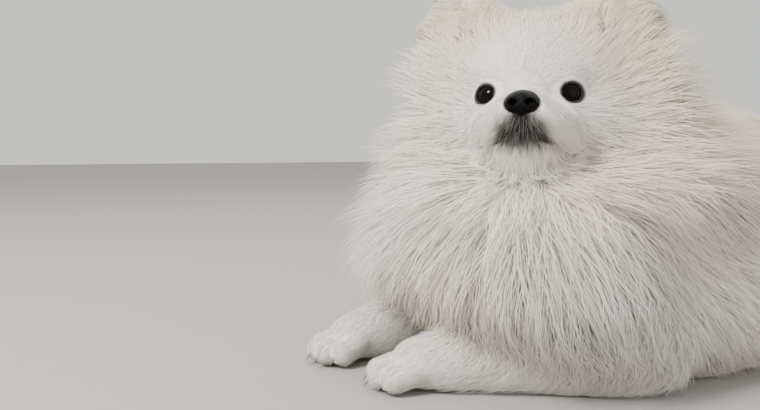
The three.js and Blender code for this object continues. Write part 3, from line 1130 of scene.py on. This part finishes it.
@dataclass(frozen=True)
class Finish:
    """A material: constants of its surface, and what varies over it."""

    name: str
    roughness: float
    colour: Colour = (0.5, 0.5, 0.5, 1)
    specular: float = 0.5
    sheen: float = 0.0
    bump: float = 0.0
    scale: float = 400.0
    cells: float = 0.0
    hair: bool = False

    def build(self, colours: bpy.types.NodeTree, grain: bpy.types.NodeTree) -> bpy.types.Material:
        """Makes the material.

        Args:
            colours: the group that gives the coat's colour.
            grain: the group that gives a fine height.

        Returns:
            The new material.
        """
        made = bpy.data.materials.new(self.name)
        made.use_nodes = True
        graph = Graph(made.node_tree)
        surface = made.node_tree.nodes["Principled BSDF"]
        surface.inputs["Roughness"].default_value = self.roughness
        surface.inputs["Specular IOR Level"].default_value = self.specular
        surface.inputs["Sheen Weight"].default_value = self.sheen
        surface.inputs["Base Color"].default_value = self.colour
        if self.hair:
            tint = graph.add("ShaderNodeGroup", node_tree=colours)
            for name in Mark:
                graph.join(graph.value(name), tint.inputs[name.value.title()])
            graph.join(tint.outputs["Color"], surface.inputs["Base Color"])
        if self.bump:
            height = graph.add("ShaderNodeGroup", node_tree=grain)
            height.inputs["Scale"].default_value = self.scale
            height.inputs["Cells"].default_value = self.cells
            bump = graph.add("ShaderNodeBump")
            bump.inputs["Strength"].default_value = self.bump
            bump.inputs["Distance"].default_value = BUMP_DEPTH
            graph.join(height.outputs["Height"], bump.inputs["Height"])
            graph.join(bump.outputs["Normal"], surface.inputs["Normal"])
        return made


@dataclass
class Skin:
    """The one skin of the dog, with the folds of its face."""

    body: Body
    voxel: float = 2.5
    face_voxel: float = 0.85
    lid_ring: float = 6.4
    lid_thickness: float = 1.35
    lid_ahead: float = 4.6
    lid_height: float = 0.88
    lid_blend: float = 2.2
    head_inset: float = 3.0
    floor_gap: float = 0.6
    # The skin counts as this far along the hair, so it takes much of the hair's painted root shade
    tip: float = 0.3
    tone: float = 0.4
    rim: tuple[float, float] = (10.6, 9.4)
    nose_edge: tuple[float, float] = (1.6, 0.4)
    lip_edge: tuple[float, float] = (2.6, 1.2)
    pad_top: tuple[float, float] = (3.4, 2.0)
    pad_shade: float = 0.8
    trunk_box: tuple[Triple, Triple] = ((-112, -165, -1), (112, 212, 215))
    face_box: tuple[Triple, Triple] = ((-52, -66, -48), (52, 62, 52))
    points: Array = field(default_factory=lambda: np.zeros((0, 3)))
    quads: Array = field(default_factory=lambda: np.zeros((0, 4), int))

    def head_number(self) -> int:
        """Which of the regions is the head."""
        return [region.name for region in self.body.regions].index("head")

    def trunk_field(self, points: Array) -> Array:
        """The skin away from the face, with the head drawn in under its own finer skin.

        Args:
            points: points in the row frame.

        Returns:
            The distances, negative inside.
        """
        every = self.body.coats(points, np.full(len(points), SKIN_SHARE))
        every[self.head_number()] += self.head_inset
        return soft_max(joined(every, REGION_BLEND), self.floor_gap - points[:, 2], 2)

    def face_field(self, own: Array) -> Array:
        """The skin of the head in its own frame, with sockets, lids and lips.

        Args:
            own: points in the part's own frame.

        Returns:
            The distances, negative inside.
        """
        head = self.body.regions[self.head_number()]
        skin = head.flesh(own) - head.depth(own) * SKIN_SHARE
        for side in (1, -1):
            q = own - eye_at(side)
            ahead = dot(q, np.tile(gaze(side), (len(q), 1)))
            upright = q - ahead[:, None] * gaze(side)
            upright[:, 2] /= self.lid_height
            ring = np.hypot(length_of(upright) - self.lid_ring, ahead - self.lid_ahead)
            skin = soft_min(skin, ring - self.lid_thickness, self.lid_blend)
            skin = soft_max(skin, EYE_RADIUS + 0.15 - length_of(q), 0.5)
        skin = soft_max(skin, -(NOSE_BED.distance(own) + 0.9), 1.0)
        return soft_max(skin, 0.75 - mouth_distance(own), 1.6)

    def build(self) -> None:
        """Works out the skin's points and faces."""
        trunk, trunk_quads = polygons_of(self.trunk_field, *self.trunk_box, self.voxel)
        face, face_quads = polygons_of(self.face_field, *self.face_box, self.face_voxel)
        self.points = np.concatenate([trunk, HEAD_POSE.to_row(face)])
        self.quads = np.concatenate([trunk_quads, face_quads + len(trunk)])

    def darkness(self) -> Array:
        """Where the skin is black: the rims of the eyes, the lips and the pads.

        Returns:
            The darkness at each point, from 0 to 1.
        """
        own = HEAD_POSE.to_own(self.points)
        dark = ease(*self.lip_edge, mouth_distance(own)) * ease(-14, -30, own[:, 1])
        dark = np.maximum(dark, lip_shade(own))
        for side in (1, -1):
            dark = np.maximum(dark, ease(*self.rim, length_of(own - eye_at(side))))
        dark = np.maximum(dark, ease(*self.nose_edge, NOSE_BED.distance(own)))
        pads = ease(*self.pad_top, self.points[:, 2]) * ease(-96, -104, self.points[:, 1])
        return np.maximum(dark, self.pad_shade * pads)

    def dress(self, finish: bpy.types.Material) -> None:
        """Adds the skin to the scene in place of the nodes of flesh.

        Args:
            finish: the material.
        """
        piece = make_mesh("skin", self.points, self.quads)
        mark(piece, Mark.TIP, np.full(len(self.points), self.tip))
        mark(piece, Mark.TONE, np.full(len(self.points), self.tone))
        mark(piece, Mark.WARM, self.body.cream(self.points))
        mark(piece, Mark.DARK, self.darkness())
        piece.data.materials.append(finish)
        limbs = [f"{kind}_{side}" for kind in LIMB_NODES for side in ("left", "right")]
        declare(piece, Slot.LONG_COAT, "head", "neck", "torso", "tail", *limbs)
        log.info("skin: %d faces", len(self.quads))


LIMB_NODES = ("ear", "foreleg", "forepaw", "hind_leg", "hind_paw")


# The size of a tuft's patch on the unwrap
PATCH = 0.003
# How far a clump draws hairs in, and how much of a hair's tone is its clump's
CLUMP_REACH = 18.0
CLUMP_TONE = 0.55
# A tuft's section: its edges hang below the path and its ridge stands above, in half widths
EDGE_DROP = 0.22
RIDGE_RISE = 0.45


@dataclass
class Tufts:
    """Tapered three-sided tufts along paths, gathered into clumps."""

    paths: Array
    normals: Array
    widths: Array
    unwrapped: Array
    warm: Array
    dark: Array
    short: Array
    tone: Array = field(default_factory=lambda: np.zeros(0))

    def gather(self, random: np.random.Generator, size: float, pull: float, share: int) -> None:
        """Draws the tips of neighbours together and gives each clump a tone.

        Args:
            random: the source of chance.
            size: how far the hairs of a clump stay apart at their tips, as a share.
            pull: how strongly the tips are drawn together.
            share: how many hairs make one clump.
        """
        count = len(self.paths)
        leaders = random.choice(count, max(count // share, 1), replace=False)
        middle = self.paths[:, self.paths.shape[1] // 2]
        tree = KDTree(len(leaders))
        for i, leader in enumerate(leaders):
            tree.insert(middle[leader], i)
        tree.balance()
        nearest = np.array([tree.find(point)[1] for point in middle])
        guides = self.paths[leaders][nearest]
        apart = self.paths[:, :1] - guides[:, :1]
        along = np.linspace(0, 1, self.paths.shape[1])[None, :, None]
        reach = length_of(apart[:, 0])
        strength = pull * np.exp(-reach / CLUMP_REACH)[:, None, None] * along**1.6
        self.paths = lerp(self.paths, guides + apart * size, strength)
        clump_tone = random.random(len(leaders))[nearest]
        self.tone = lerp(random.random(count), clump_tone, CLUMP_TONE)

    def wave(self, random: np.random.Generator, amount: float) -> None:
        """Bends the hairs to and fro and sideways.

        Args:
            random: the source of chance.
            amount: how far the hairs swing, as a share of their length.
        """
        count, stations = self.paths.shape[:2]
        forward = unit(self.paths[:, -1] - self.paths[:, 0])
        side = unit(np.cross(forward, self.normals[:, -1]))
        long = length_of(self.paths[:, -1] - self.paths[:, 0])
        along = np.linspace(0, 1, stations)[None, :]
        phase = random.random((count, 1)) * 2 * math.pi
        turns = 2.5 + 3.5 * random.random((count, 1))
        swing = np.sin(along * turns + phase) - np.sin(phase)
        offset = amount * long[:, None] * along * swing
        self.paths = self.paths + offset[:, :, None] * side[:, None]
        lifted = amount * 0.6 * long[:, None] * along * np.cos(along * turns * 1.3 + phase)
        self.paths = self.paths + lifted[:, :, None] * self.normals
        self.paths = kept_in(self.paths)

    def mesh(self, name: str, finish: bpy.types.Material) -> bpy.types.Object:
        """Adds the tufts to the scene as one closed-sided mesh.

        Args:
            name: the piece's name.
            finish: the material.

        Returns:
            The new object.
        """
        count, stations = self.paths.shape[:2]
        rings = stations - 1
        forward = np.gradient(self.paths, axis=1)
        across = unit(np.cross(forward, self.normals))
        up = unit(np.cross(across, forward))
        along = np.linspace(0, 1, stations)[None, :rings]
        taper = (1 - along) ** 0.55 * (0.75 + 0.5 * along)
        half = (0.5 * self.widths[:, None] * taper)[:, :, None]
        spine = self.paths[:, :rings]
        low = spine - EDGE_DROP * half * up[:, :rings]
        corners = [low - half * across[:, :rings], spine + RIDGE_RISE * half * up[:, :rings]]
        corners.append(low + half * across[:, :rings])
        body = np.stack(corners, axis=2).reshape(count, rings * 3, 3)
        points = np.concatenate([body, self.paths[:, -1:]], axis=1)
        each = rings * 3 + 1
        bands = []
        for ring in range(rings - 1):
            for side in range(3):
                a, b = ring * 3 + side, ring * 3 + (side + 1) % 3
                bands += [[a, b, a + 3], [b, b + 3, a + 3]]
        last = (rings - 1) * 3
        bands += [[last + side, last + (side + 1) % 3, each - 1] for side in range(3)]
        bands.append([0, 2, 1])
        faces = (np.array(bands)[None] + each * np.arange(count)[:, None, None]).reshape(-1, 3)
        piece = make_mesh(name, points.reshape(-1, 3), faces)
        # How near the tip each point is; the colour group turns this into painted shade towards the
        # root
        tip = np.tile(np.append(np.repeat(along[0], 3), 1.0), (count, 1))
        mark(piece, Mark.TIP, tip.ravel())
        marks = ((Mark.TONE, self.tone), (Mark.WARM, self.warm), (Mark.DARK, self.dark))
        for kind, values in marks:
            mark(piece, kind, np.repeat(values, each))
        self.shade(piece, across, up, rings)
        self.unwrap(piece, faces, tip, each)
        piece.data.materials.append(finish)
        log.info("%s: %d tufts, %d triangles", name, count, len(faces))
        return piece

    def shade(self, piece: bpy.types.Object, across: Array, up: Array, rings: int) -> None:
        """Turns the tufts' normals most of the way to the coat's own, so that it shades softly.

        Args:
            piece: the tufts' mesh.
            across: the way across each tuft at each station.
            up: the way up from it.
            rings: how many rings each tuft has.
        """
        coat = self.normals[:, :rings]
        sides = [-0.8 * across[:, :rings] - 0.3 * up[:, :rings], up[:, :rings]]
        sides.append(0.8 * across[:, :rings] - 0.3 * up[:, :rings])
        turned = np.stack([unit(0.3 * side + 0.85 * coat) for side in sides], axis=2)
        turned = turned.reshape(len(self.paths), rings * 3, 3)
        whole = np.concatenate([turned, self.normals[:, -1:]], axis=1).reshape(-1, 3)
        piece.data.normals_split_custom_set_from_vertices(whole.tolist())

    def unwrap(self, piece: bpy.types.Object, faces: Array, tip: Array, each: int) -> None:
        """Lays each tuft as a small patch at its root's place on the skin's unwrap.

        Args:
            piece: the tufts' mesh.
            faces: its triangles.
            tip: how near the tip each point is.
            each: how many points a tuft has.
        """
        side = np.tile(np.arange(each) % 3, (len(self.paths), 1)) / 2 - 0.5
        u = self.unwrapped[:, :1] + PATCH * side
        v = self.unwrapped[:, 1:] + PATCH * (tip - 0.5)
        placed = np.stack([u, v], axis=2).reshape(-1, 2)
        layer = piece.data.uv_layers.new(name="OFBake")
        layer.data.foreach_set("uv", placed[faces.ravel()].astype(np.float32).ravel())


@dataclass
class Coat:
    """The hair over the skin."""

    body: Body
    skin: Skin
    piece_limit: int = 190_000
    long_from: float = 11.0
    thinnest: float = 0.2
    reach: tuple[float, float] = (0.93, 0.12)
    reach_limits: tuple[float, float] = (0.62, 1.1)
    stray: float = 0.035
    stray_reach: float = 0.12
    length_spread: tuple[float, float] = (0.78, 1.18)
    width_spread: tuple[float, float] = (0.7, 1.25)
    filled: float = 0.6
    bare_below: float = 2.5
    buried_below: float = -1.6
    eye_gap: float = 1.0
    sight: float = 26.0
    sight_cosine: float = 0.77
    lip_gap: float = 0.7

    def hair_length(self, points: Array) -> Array:
        """How long the hair is at a place on the skin.

        Args:
            points: points in the row frame.

        Returns:
            The lengths.
        """
        share = np.full(len(points), SKIN_SHARE)
        deep = self.body.mixed(points, share, "depth")
        return 3.4 + (0.76 - 0.1 * ease(34, 60, deep)) * deep

    def roots(self, random: np.random.Generator) -> tuple[Array, Array, Array]:
        """Scatters roots over the skin.

        Args:
            random: the source of chance.

        Returns:
            The roots, the length of the hair at each and the number of its region.
        """
        corners = self.skin.points[self.skin.quads]
        first = np.cross(corners[:, 1] - corners[:, 0], corners[:, 2] - corners[:, 0])
        second = np.cross(corners[:, 2] - corners[:, 0], corners[:, 3] - corners[:, 0])
        area = (length_of(first) + length_of(second)) / 2
        middle = corners.mean(axis=1)
        share = np.full(len(middle), SKIN_SHARE)
        owner = self.body.owner(middle, share)
        cover = np.array([region.cover for region in self.body.regions])[owner]
        long = self.hair_length(middle)
        wide = self.hair_width(long)
        hidden = self.body.surface(middle, share) < self.buried_below
        wanted = area * cover * ease(-6, 26, long) / (self.filled * wide * long)
        wanted[hidden | (middle[:, 2] < self.bare_below)] = 0
        number = int(wanted.sum())
        face = random.choice(len(middle), number, p=wanted / wanted.sum())
        s, t = random.random((2, number, 1))
        c = corners[face]
        place = lerp(lerp(c[:, 0], c[:, 1], s), lerp(c[:, 3], c[:, 2], s), t)
        return place, long[face], owner[face]

    def hair_width(self, long: Array) -> Array:
        """How wide a tuft of that length is."""
        return self.thinnest + 0.006 * long

    def grow(
        self, roots: Array, long: Array, stations: int, random: np.random.Generator
    ) -> tuple[Array, Array]:
        """Grows hairs from their roots through the coat to its outline.

        Args:
            roots: where the hairs start.
            long: the length of each.
            stations: how many points each path has.
            random: the source of chance.
            random: the source of chance.

        Returns:
            Paths and normals, one row for each hair.
        """
        count = len(roots)
        ends = np.clip(random.normal(*self.reach, count), *self.reach_limits)
        ends = ends + self.stray_reach * (random.random(count) < self.stray)
        own_long = long * random.uniform(*self.length_spread, count)
        astray = unit(random.normal(size=(count, 3))) * (0.1 + 0.22 * ease(12, 40, long))[:, None]
        points = roots
        paths, normals = [], []
        for i in range(stations):
            along = i / (stations - 1)
            share = lerp(ROOT_SHARE, ends, along**0.8)
            if i:
                way = self.body.mixed(points, share, "lie") + astray
                way = way - dot(way, normal)[:, None] * normal
                way[:, 2] -= 0.4 * ease(0.5, 0.1, length_of(way))
                points = points + unit(way) * (own_long / (stations - 1))[:, None]
            points, normal = self.body.settle(points, share)
            paths.append(points)
            normals.append(normal)
        return np.stack(paths, axis=1), np.stack(normals, axis=1)

    def clear_of_face(self, paths: Array) -> Array:
        """Whether each hair leaves the eyes, the nose and the line of the mouth free.

        Args:
            paths: the hairs' paths.

        Returns:
            True for each hair that may stay.
        """
        count, stations = paths.shape[:2]
        own = HEAD_POSE.to_own(paths.reshape(-1, 3))
        blocked = NOSE_ROOM.distance(own) < 0.3
        for side in (1, -1):
            q = own - eye_at(side)
            far = length_of(q)
            ahead = dot(unit(q), np.tile(gaze(side), (len(q), 1)))
            blocked |= (far < EYE_RADIUS + self.eye_gap) & (ahead > 0.3)
            blocked |= (far < self.sight) & (ahead > self.sight_cosine)
        blocked |= (mouth_distance(own) < self.lip_gap) & (own[:, 1] < MOUTH[-1][1] - 2)
        return ~blocked.reshape(count, stations).any(axis=1)

    def build(self, random: np.random.Generator) -> list[tuple[str, Tufts]]:
        """Grows the whole coat.

        Args:
            random: the source of chance.

        Returns:
            Names and tufts, each small enough for one piece.
        """
        place, long, owner = self.roots(random)
        made = []
        is_short = np.array([region.slot is Slot.SHORT_COAT for region in self.body.regions])
        lengths = (("short", long < self.long_from, 3), ("long", long >= self.long_from, 4))
        for title, chosen, stations in lengths:
            paths, normals = self.grow(place[chosen], long[chosen], stations, random)
            keep = self.clear_of_face(paths)
            roots, kept_owner = place[chosen][keep], owner[chosen][keep]
            flat = np.zeros((len(roots), 2))
            for number, region in enumerate(self.body.regions):
                mine = kept_owner == number
                flat[mine] = region.unwrap(roots[mine])
            warm = self.body.cream(roots)
            widths = self.hair_width(long[chosen][keep])
            widths *= random.uniform(*self.width_spread, len(roots))
            dark = lip_shade(HEAD_POSE.to_own(roots)) * random.uniform(0.85, 1.0, len(roots))
            short = is_short[kept_owner]
            tufts = Tufts(paths[keep], normals[keep], widths, flat, warm, dark, short)
            if title == "long":
                tufts.gather(random, size=0.5, pull=0.7, share=22)
                tufts.wave(random, amount=0.045)
            else:
                tufts.gather(random, size=0.7, pull=0.35, share=9)
            made += self.split(title, tufts)
        return made

    def split(self, title: str, tufts: Tufts) -> list[tuple[str, Tufts]]:
        """Cuts tufts into pieces along the body, legs apart from the rest.

        Args:
            title: the first word of the pieces' names.
            tufts: the tufts.

        Returns:
            Names and tufts of the pieces.
        """
        each = 6 * (tufts.paths.shape[1] - 2) + 4
        most = self.piece_limit // each
        made = []
        for legs in (False, True):
            chosen = np.flatnonzero(tufts.short == legs)
            if not len(chosen):
                continue
            order = chosen[np.argsort(tufts.paths[chosen, 0, 1])]
            parts = np.array_split(order, math.ceil(len(order) / most))
            for number, part in enumerate(parts):
                name = f"{title}_{'legs' if legs else 'coat'}_{number + 1}"
                made.append((name, self.part(tufts, part)))
        return made

    def part(self, tufts: Tufts, rows: Array) -> Tufts:
        """Some of the tufts.

        Args:
            tufts: all the tufts.
            rows: the numbers of the ones that are wanted.

        Returns:
            The chosen tufts.
        """
        return Tufts(
            tufts.paths[rows],
            tufts.normals[rows],
            tufts.widths[rows],
            tufts.unwrapped[rows],
            tufts.warm[rows],
            tufts.dark[rows],
            tufts.short[rows],
            tufts.tone[rows],
        )


TAIL_LINE = ((0, 152, 80), (0, 180, 102), (0, 163, 123), (-3, 122, 127), (-6, 84, 125), (-8, 54, 122))


@dataclass
class Tail:
    """The plume that lies forward over the back."""

    count: int = 7000
    across: Triple = (0.9968, 0.0, 0.0797)
    hair: float = 0.3
    stations: int = 4
    cell: Cell = (0.0, 0.86, 1.0, 0.13)

    def line(self, s: Array) -> tuple[Array, Array]:
        """Points and directions of the tail at shares of its length.

        Args:
            s: shares of the tail's length, from its root.

        Returns:
            The points and the directions.
        """
        knots = np.array(TAIL_LINE, float)
        padded = np.concatenate([[2 * knots[0] - knots[1]], knots, [2 * knots[-1] - knots[-2]]])
        place = np.clip(s, 0, 1) * (len(knots) - 1)
        i = np.minimum(place.astype(int), len(knots) - 2)
        t = (place - i)[..., None]
        a, b, c, d = (padded[i + step] for step in range(4))
        square, cube = 2 * a - 5 * b + 4 * c - d, 3 * b - a - 3 * c + d
        point = b + 0.5 * t * (c - a + t * (square + t * cube))
        return point, unit(c - a + t * (2 * square + 3 * t * cube))

    def width(self, s: Array) -> Array:
        """The plume's width."""
        return 24 + 92 * np.sin(math.pi * np.clip(s, 0.001, 1) ** 0.75)

    def thickness(self, s: Array) -> Array:
        """The plume's thickness."""
        return 17 + 15 * np.sin(math.pi * np.clip(s, 0.001, 1) ** 0.8)

    def build(self, random: np.random.Generator) -> Tufts:
        """Grows the plume.

        Args:
            random: the source of chance.

        Returns:
            The plume's tufts.
        """
        start = random.random(self.count) * 0.92
        turn = random.random(self.count) * 2 * math.pi
        reach = np.sqrt(random.uniform(0.25, 1.0, self.count))
        paths, normals = [], []
        across = np.array(self.across)
        for along in np.linspace(0, 1, self.stations):
            s = np.minimum(start + self.hair * along, 1.06)
            point, forward = self.line(s)
            up = -unit(np.cross(forward, across))
            out = reach * lerp(0.12, 1.0, along**0.8)
            wide = self.width(s) / 2 * np.cos(turn) * out
            high = self.thickness(s) / 2 * np.sin(turn) * out
            paths.append(point + across * wide[:, None] + up * high[:, None])
            normal = across * np.cos(turn)[:, None] * 0.5 + up * np.sin(turn)[:, None]
            normals.append(unit(normal + 0.3 * up))
        u, v, width, height = self.cell
        flat = np.stack([u + width * turn / (2 * math.pi), v + height * start], axis=1)
        widths = random.uniform(0.7, 1.25, self.count)
        warm = np.clip(random.normal(0.5, 0.15, self.count), 0, 1)
        none = np.zeros(self.count)
        paths, normals = np.stack(paths, axis=1), np.stack(normals, axis=1)
        tufts = Tufts(paths, normals, widths, flat, warm, none, none.astype(bool))
        tufts.gather(random, size=0.35, pull=0.8, share=14)
        tufts.wave(random, amount=0.035)
        return tufts


@dataclass
class Eyes:
    """Both eyeballs."""

    segments: int = 56

    def build(self, finish: bpy.types.Material) -> None:
        """Adds an eyeball on each side.

        Args:
            finish: the material.
        """
        turn = np.linspace(0, 2 * math.pi, self.segments, endpoint=False)[None]
        tilt = np.linspace(0, math.pi, self.segments // 2 + 1)[1:-1, None]
        ahead = -np.cos(tilt) + 0 * turn
        rings = np.stack([np.sin(tilt) * np.cos(turn), ahead, np.sin(tilt) * np.sin(turn)], axis=2)
        points = EYE_RADIUS * np.concatenate([rings.reshape(-1, 3), [[0, -1, 0], [0, 1, 0]]])
        faces = closed_tube(len(tilt), self.segments)
        for side, name in ((1, "left"), (-1, "right")):
            look = Vector(HEAD_POSE.turned(gaze(side)[None])[0])
            piece = make_mesh(f"eye_{name}_ball", points, faces)
            piece.location = Vector(HEAD_POSE.to_row(eye_at(side)[None])[0]) * METRES
            piece.rotation_mode = "QUATERNION"
            piece.rotation_quaternion = look.to_track_quat("-Y", "Z")
            piece.data.materials.append(finish)
            bpy.context.view_layer.update()
            declare(piece, Slot.EYE, f"eye_{name}")
        log.info("eyes: two balls")


@dataclass
class Nose:
    """The nose leather with its nostrils."""

    voxel: float = 0.36

    def field_at(self, own: Array) -> Array:
        """The signed distance from the nose in the head's frame.

        Args:
            own: points in the part's own frame.

        Returns:
            The distances, negative inside.
        """
        x, y, z = (own - np.array(NOSE_AT)).T
        folded = np.stack([np.abs(x), y, z], axis=1)
        leather = soft_min(
            Egg((0, 0.6, 0.2), (7.6, 5.4, 5.9)).distance(folded),
            Egg((0, 1.6, -4.0), (3.3, 3.8, 4.0)).distance(folded),
            4.0,
        )
        wings = Egg((4.4, -1.0, -0.8), (3.3, 4.1, 3.9)).distance(folded)
        leather = soft_min(leather, wings, 1.8)
        hole = Egg((3.8, -4.9, -0.6), (1.9, 3.0, 1.7)).distance(folded)
        slit = Limb((4.2, -4.5, -0.4), (7.8, -2.0, -1.8), 0.7, 0.4).distance(folded)
        leather = soft_max(leather, -soft_min(hole, slit, 0.8), 0.8)
        groove = Limb((0, -6.6, 2.0), (0, -4.6, -10.0), 0.5, 0.7).distance(folded)
        return soft_max(leather, -groove, 1.0)

    def build(self, finish: bpy.types.Material) -> None:
        """Adds the nose in place of its node.

        Args:
            finish: the material.
        """
        middle = np.array(NOSE_AT)
        low, high = middle - np.array([11, 9, 12.5]), middle + np.array([11, 9, 9])
        points, quads = polygons_of(self.field_at, low, high, self.voxel)
        piece = make_mesh("nose_pad", HEAD_POSE.to_row(points), quads)
        piece.data.materials.append(finish)
        declare(piece, Slot.NOSE, "nose")
        log.info("nose: %d faces", len(quads))


@dataclass
class Claws:
    """The claws of all four paws."""

    sides: int = 10
    rings: int = 7
    long: float = 7.4
    thick: float = 1.75
    flat: float = 0.85
    inset: float = 1.5
    height: float = 8.2

    def build(self, body: Body, finish: bpy.types.Material) -> None:
        """Adds curved, tapering claws as one piece.

        Args:
            body: the body, with its paws.
            finish: the material.
        """
        points, faces, nodes = [], [], []
        each = self.rings * self.sides + 2
        for region in body.regions:
            if not region.name.endswith("_paw"):
                continue
            kind, side = region.name.split("_")[:2]
            for number, (x, front) in enumerate(TOES):
                faces.append(closed_tube(self.rings, self.sides)[:, ::-1] + each * len(points))
                points.append(region.pose.to_row(self.claw(x, front)))
                nodes.append(f"{kind}{'claw' if kind == 'fore' else '_claw'}_{side}_{number + 1}")
        piece = make_mesh("claws", np.concatenate(points), np.concatenate(faces))
        piece.data.materials.append(finish)
        declare(piece, Slot.CLAW, *nodes)
        log.info("claws: %d", len(nodes))

    def claw(self, x: float, front: float) -> Array:
        """The rings of one claw, the middle of its root and its tip, in the paw's frame.

        Args:
            x: how far out the toe is.
            front: how far forward the toe's tip is.

        Returns:
            The points, ring by ring, then root and tip.
        """
        root = np.array([x, -front - self.inset, self.height])
        turn = np.linspace(0, 2 * math.pi, self.sides, endpoint=False)
        made = []
        for t in np.arange(self.rings) / self.rings:
            middle = root + np.array([0.03 * x * t, -self.long * t, -1.6 * t - 4.2 * t * t])
            tilt = 0.5 + 0.9 * t
            up = np.array([0, -math.sin(tilt), math.cos(tilt)])
            ring = np.outer(self.flat * np.cos(turn), (1, 0, 0)) + np.outer(np.sin(turn), up)
            made.append(middle + self.thick * (1 - t) ** 0.7 * ring)
        tip = root + np.array([0.03 * x, 0.1 - self.long, -6.4])
        return np.concatenate([*made, root[None], tip[None]])


@dataclass(frozen=True)
class Lamp:
    """A soft square light."""

    name: str
    place: Triple
    size: float
    power: float
    colour: Triple = (1.0, 1.0, 1.0)

    def build(self, target: Vector) -> None:
        """Adds the light, turned to the target.

        Args:
            target: the point that it shines at.
        """
        data = bpy.data.lights.new(self.name, "AREA")
        data.energy = self.power
        data.size = self.size
        data.color = self.colour
        lamp = bpy.data.objects.new(self.name, data)
        lamp.location = self.place
        lamp.rotation_euler = (target - Vector(self.place)).to_track_quat("-Z", "Y").to_euler()
        bpy.context.scene.collection.objects.link(lamp)


@dataclass
class Studio:
    """Floor, light and camera."""

    target: Triple = (0.0, 0.0, 0.1)
    camera_at: Triple = (0.307, -0.291, 0.118)
    heading: tuple[float, float] = (-0.883, 0.469)
    pitch: float = 4.49
    focal_pixels: float = 700.0
    frame_pixels: float = 760.0
    sensor: float = 36.0
    nearest: float = 0.01
    sky: float = 0.9
    sky_colour: Colour = (1.0, 1.0, 0.985, 1)
    floor_size: float = 12.0
    floor_colour: Colour = (0.40, 0.39, 0.38, 1)

    def build(self) -> None:
        """Adds floor, light and camera."""
        self.floor()
        self.light()
        self.camera()
        log.info("studio: floor, lights and camera")

    def floor(self) -> None:
        """A plain pale floor."""
        bpy.ops.mesh.primitive_plane_add(size=self.floor_size)
        plane = bpy.context.object
        plane.name = "floor"
        finish = bpy.data.materials.new("Floor")
        finish.use_nodes = True
        surface = finish.node_tree.nodes["Principled BSDF"]
        surface.inputs["Base Color"].default_value = self.floor_colour
        surface.inputs["Roughness"].default_value = 0.6
        plane.data.materials.append(finish)

    def light(self) -> None:
        """Soft light from the camera's upper left, a fill from its right, and a pale sky."""
        target = Vector(self.target)
        lamps = (
            Lamp("Key", (0.2, -1.3, 1.25), 0.45, 46.0, (1.0, 0.985, 0.95)),
            Lamp("Fill", (1.5, 0.3, 0.7), 1.2, 5.0, (1.0, 0.985, 0.97)),
            Lamp("Top", (-0.4, 0.5, 1.5), 1.1, 10.0),
        )
        for lamp in lamps:
            lamp.build(target)
        world = bpy.data.worlds.new("Sky")
        world.use_nodes = True
        background = world.node_tree.nodes["Background"]
        background.inputs["Color"].default_value = self.sky_colour
        background.inputs["Strength"].default_value = self.sky
        bpy.context.scene.world = world

    def camera(self) -> None:
        """The photo's viewpoint."""
        data = bpy.data.cameras.new("Camera")
        data.sensor_width = self.sensor
        data.lens = self.focal_pixels / self.frame_pixels * self.sensor
        data.clip_start = self.nearest
        camera = bpy.data.objects.new("Camera", data)
        camera.location = self.camera_at
        level = math.cos(math.radians(self.pitch))
        x, y = self.heading
        way = Vector((x * level, y * level, -math.sin(math.radians(self.pitch))))
        camera.rotation_mode = "QUATERNION"
        camera.rotation_quaternion = way.to_track_quat("-Z", "Y")
        bpy.context.scene.collection.objects.link(camera)
        bpy.context.scene.camera = camera


FINISHES = {
    "skin": Finish("Skin", 0.85, specular=0.2, sheen=0.2, bump=0.3, scale=700.0, hair=True),
    "long": Finish("Long coat", 0.75, specular=0.3, sheen=0.3, hair=True),
    "short": Finish("Short coat", 0.78, specular=0.3, sheen=0.3, hair=True),
    "eye": Finish("Eye", 0.05, (0.003, 0.0024, 0.002, 1), specular=0.09),
    "nose": Finish(
        "Nose leather", 0.4, (0.002, 0.0018, 0.002, 1), specular=0.07, bump=0.35, scale=900.0, cells=2.0
    ),
    "claw": Finish("Claw", 0.4, (0.26, 0.23, 0.2, 1), specular=0.4, bump=0.2, scale=500.0),
}


def main() -> None:
    """Builds the dog piece by piece, then its studio."""
    random = np.random.default_rng(SEED)
    colours, grain = CoatColours().group(), grain_group()
    finishes = {name: finish.build(colours, grain) for name, finish in FINISHES.items()}
    body = Body([trunk_region(), neck_region(), head_region(), *ear_regions(), *leg_regions()])
    skin = Skin(body)
    skin.build()
    skin.dress(finishes["skin"])
    coat = Coat(body, skin)
    total = 0
    for name, tufts in [*coat.build(random), ("tail_plume", Tail().build(random))]:
        legs = bool(tufts.short.any())
        piece = tufts.mesh(name, finishes["short" if legs else "long"])
        declare(piece, Slot.SHORT_COAT if legs else Slot.LONG_COAT)
        total += len(piece.data.polygons)
    log.info("coat: %d triangles", total)
    Eyes().build(finishes["eye"])
    Nose().build(finishes["nose"])
    Claws().build(body, finishes["claw"])
    Studio().build()


if __name__ == "__main__":
    main()
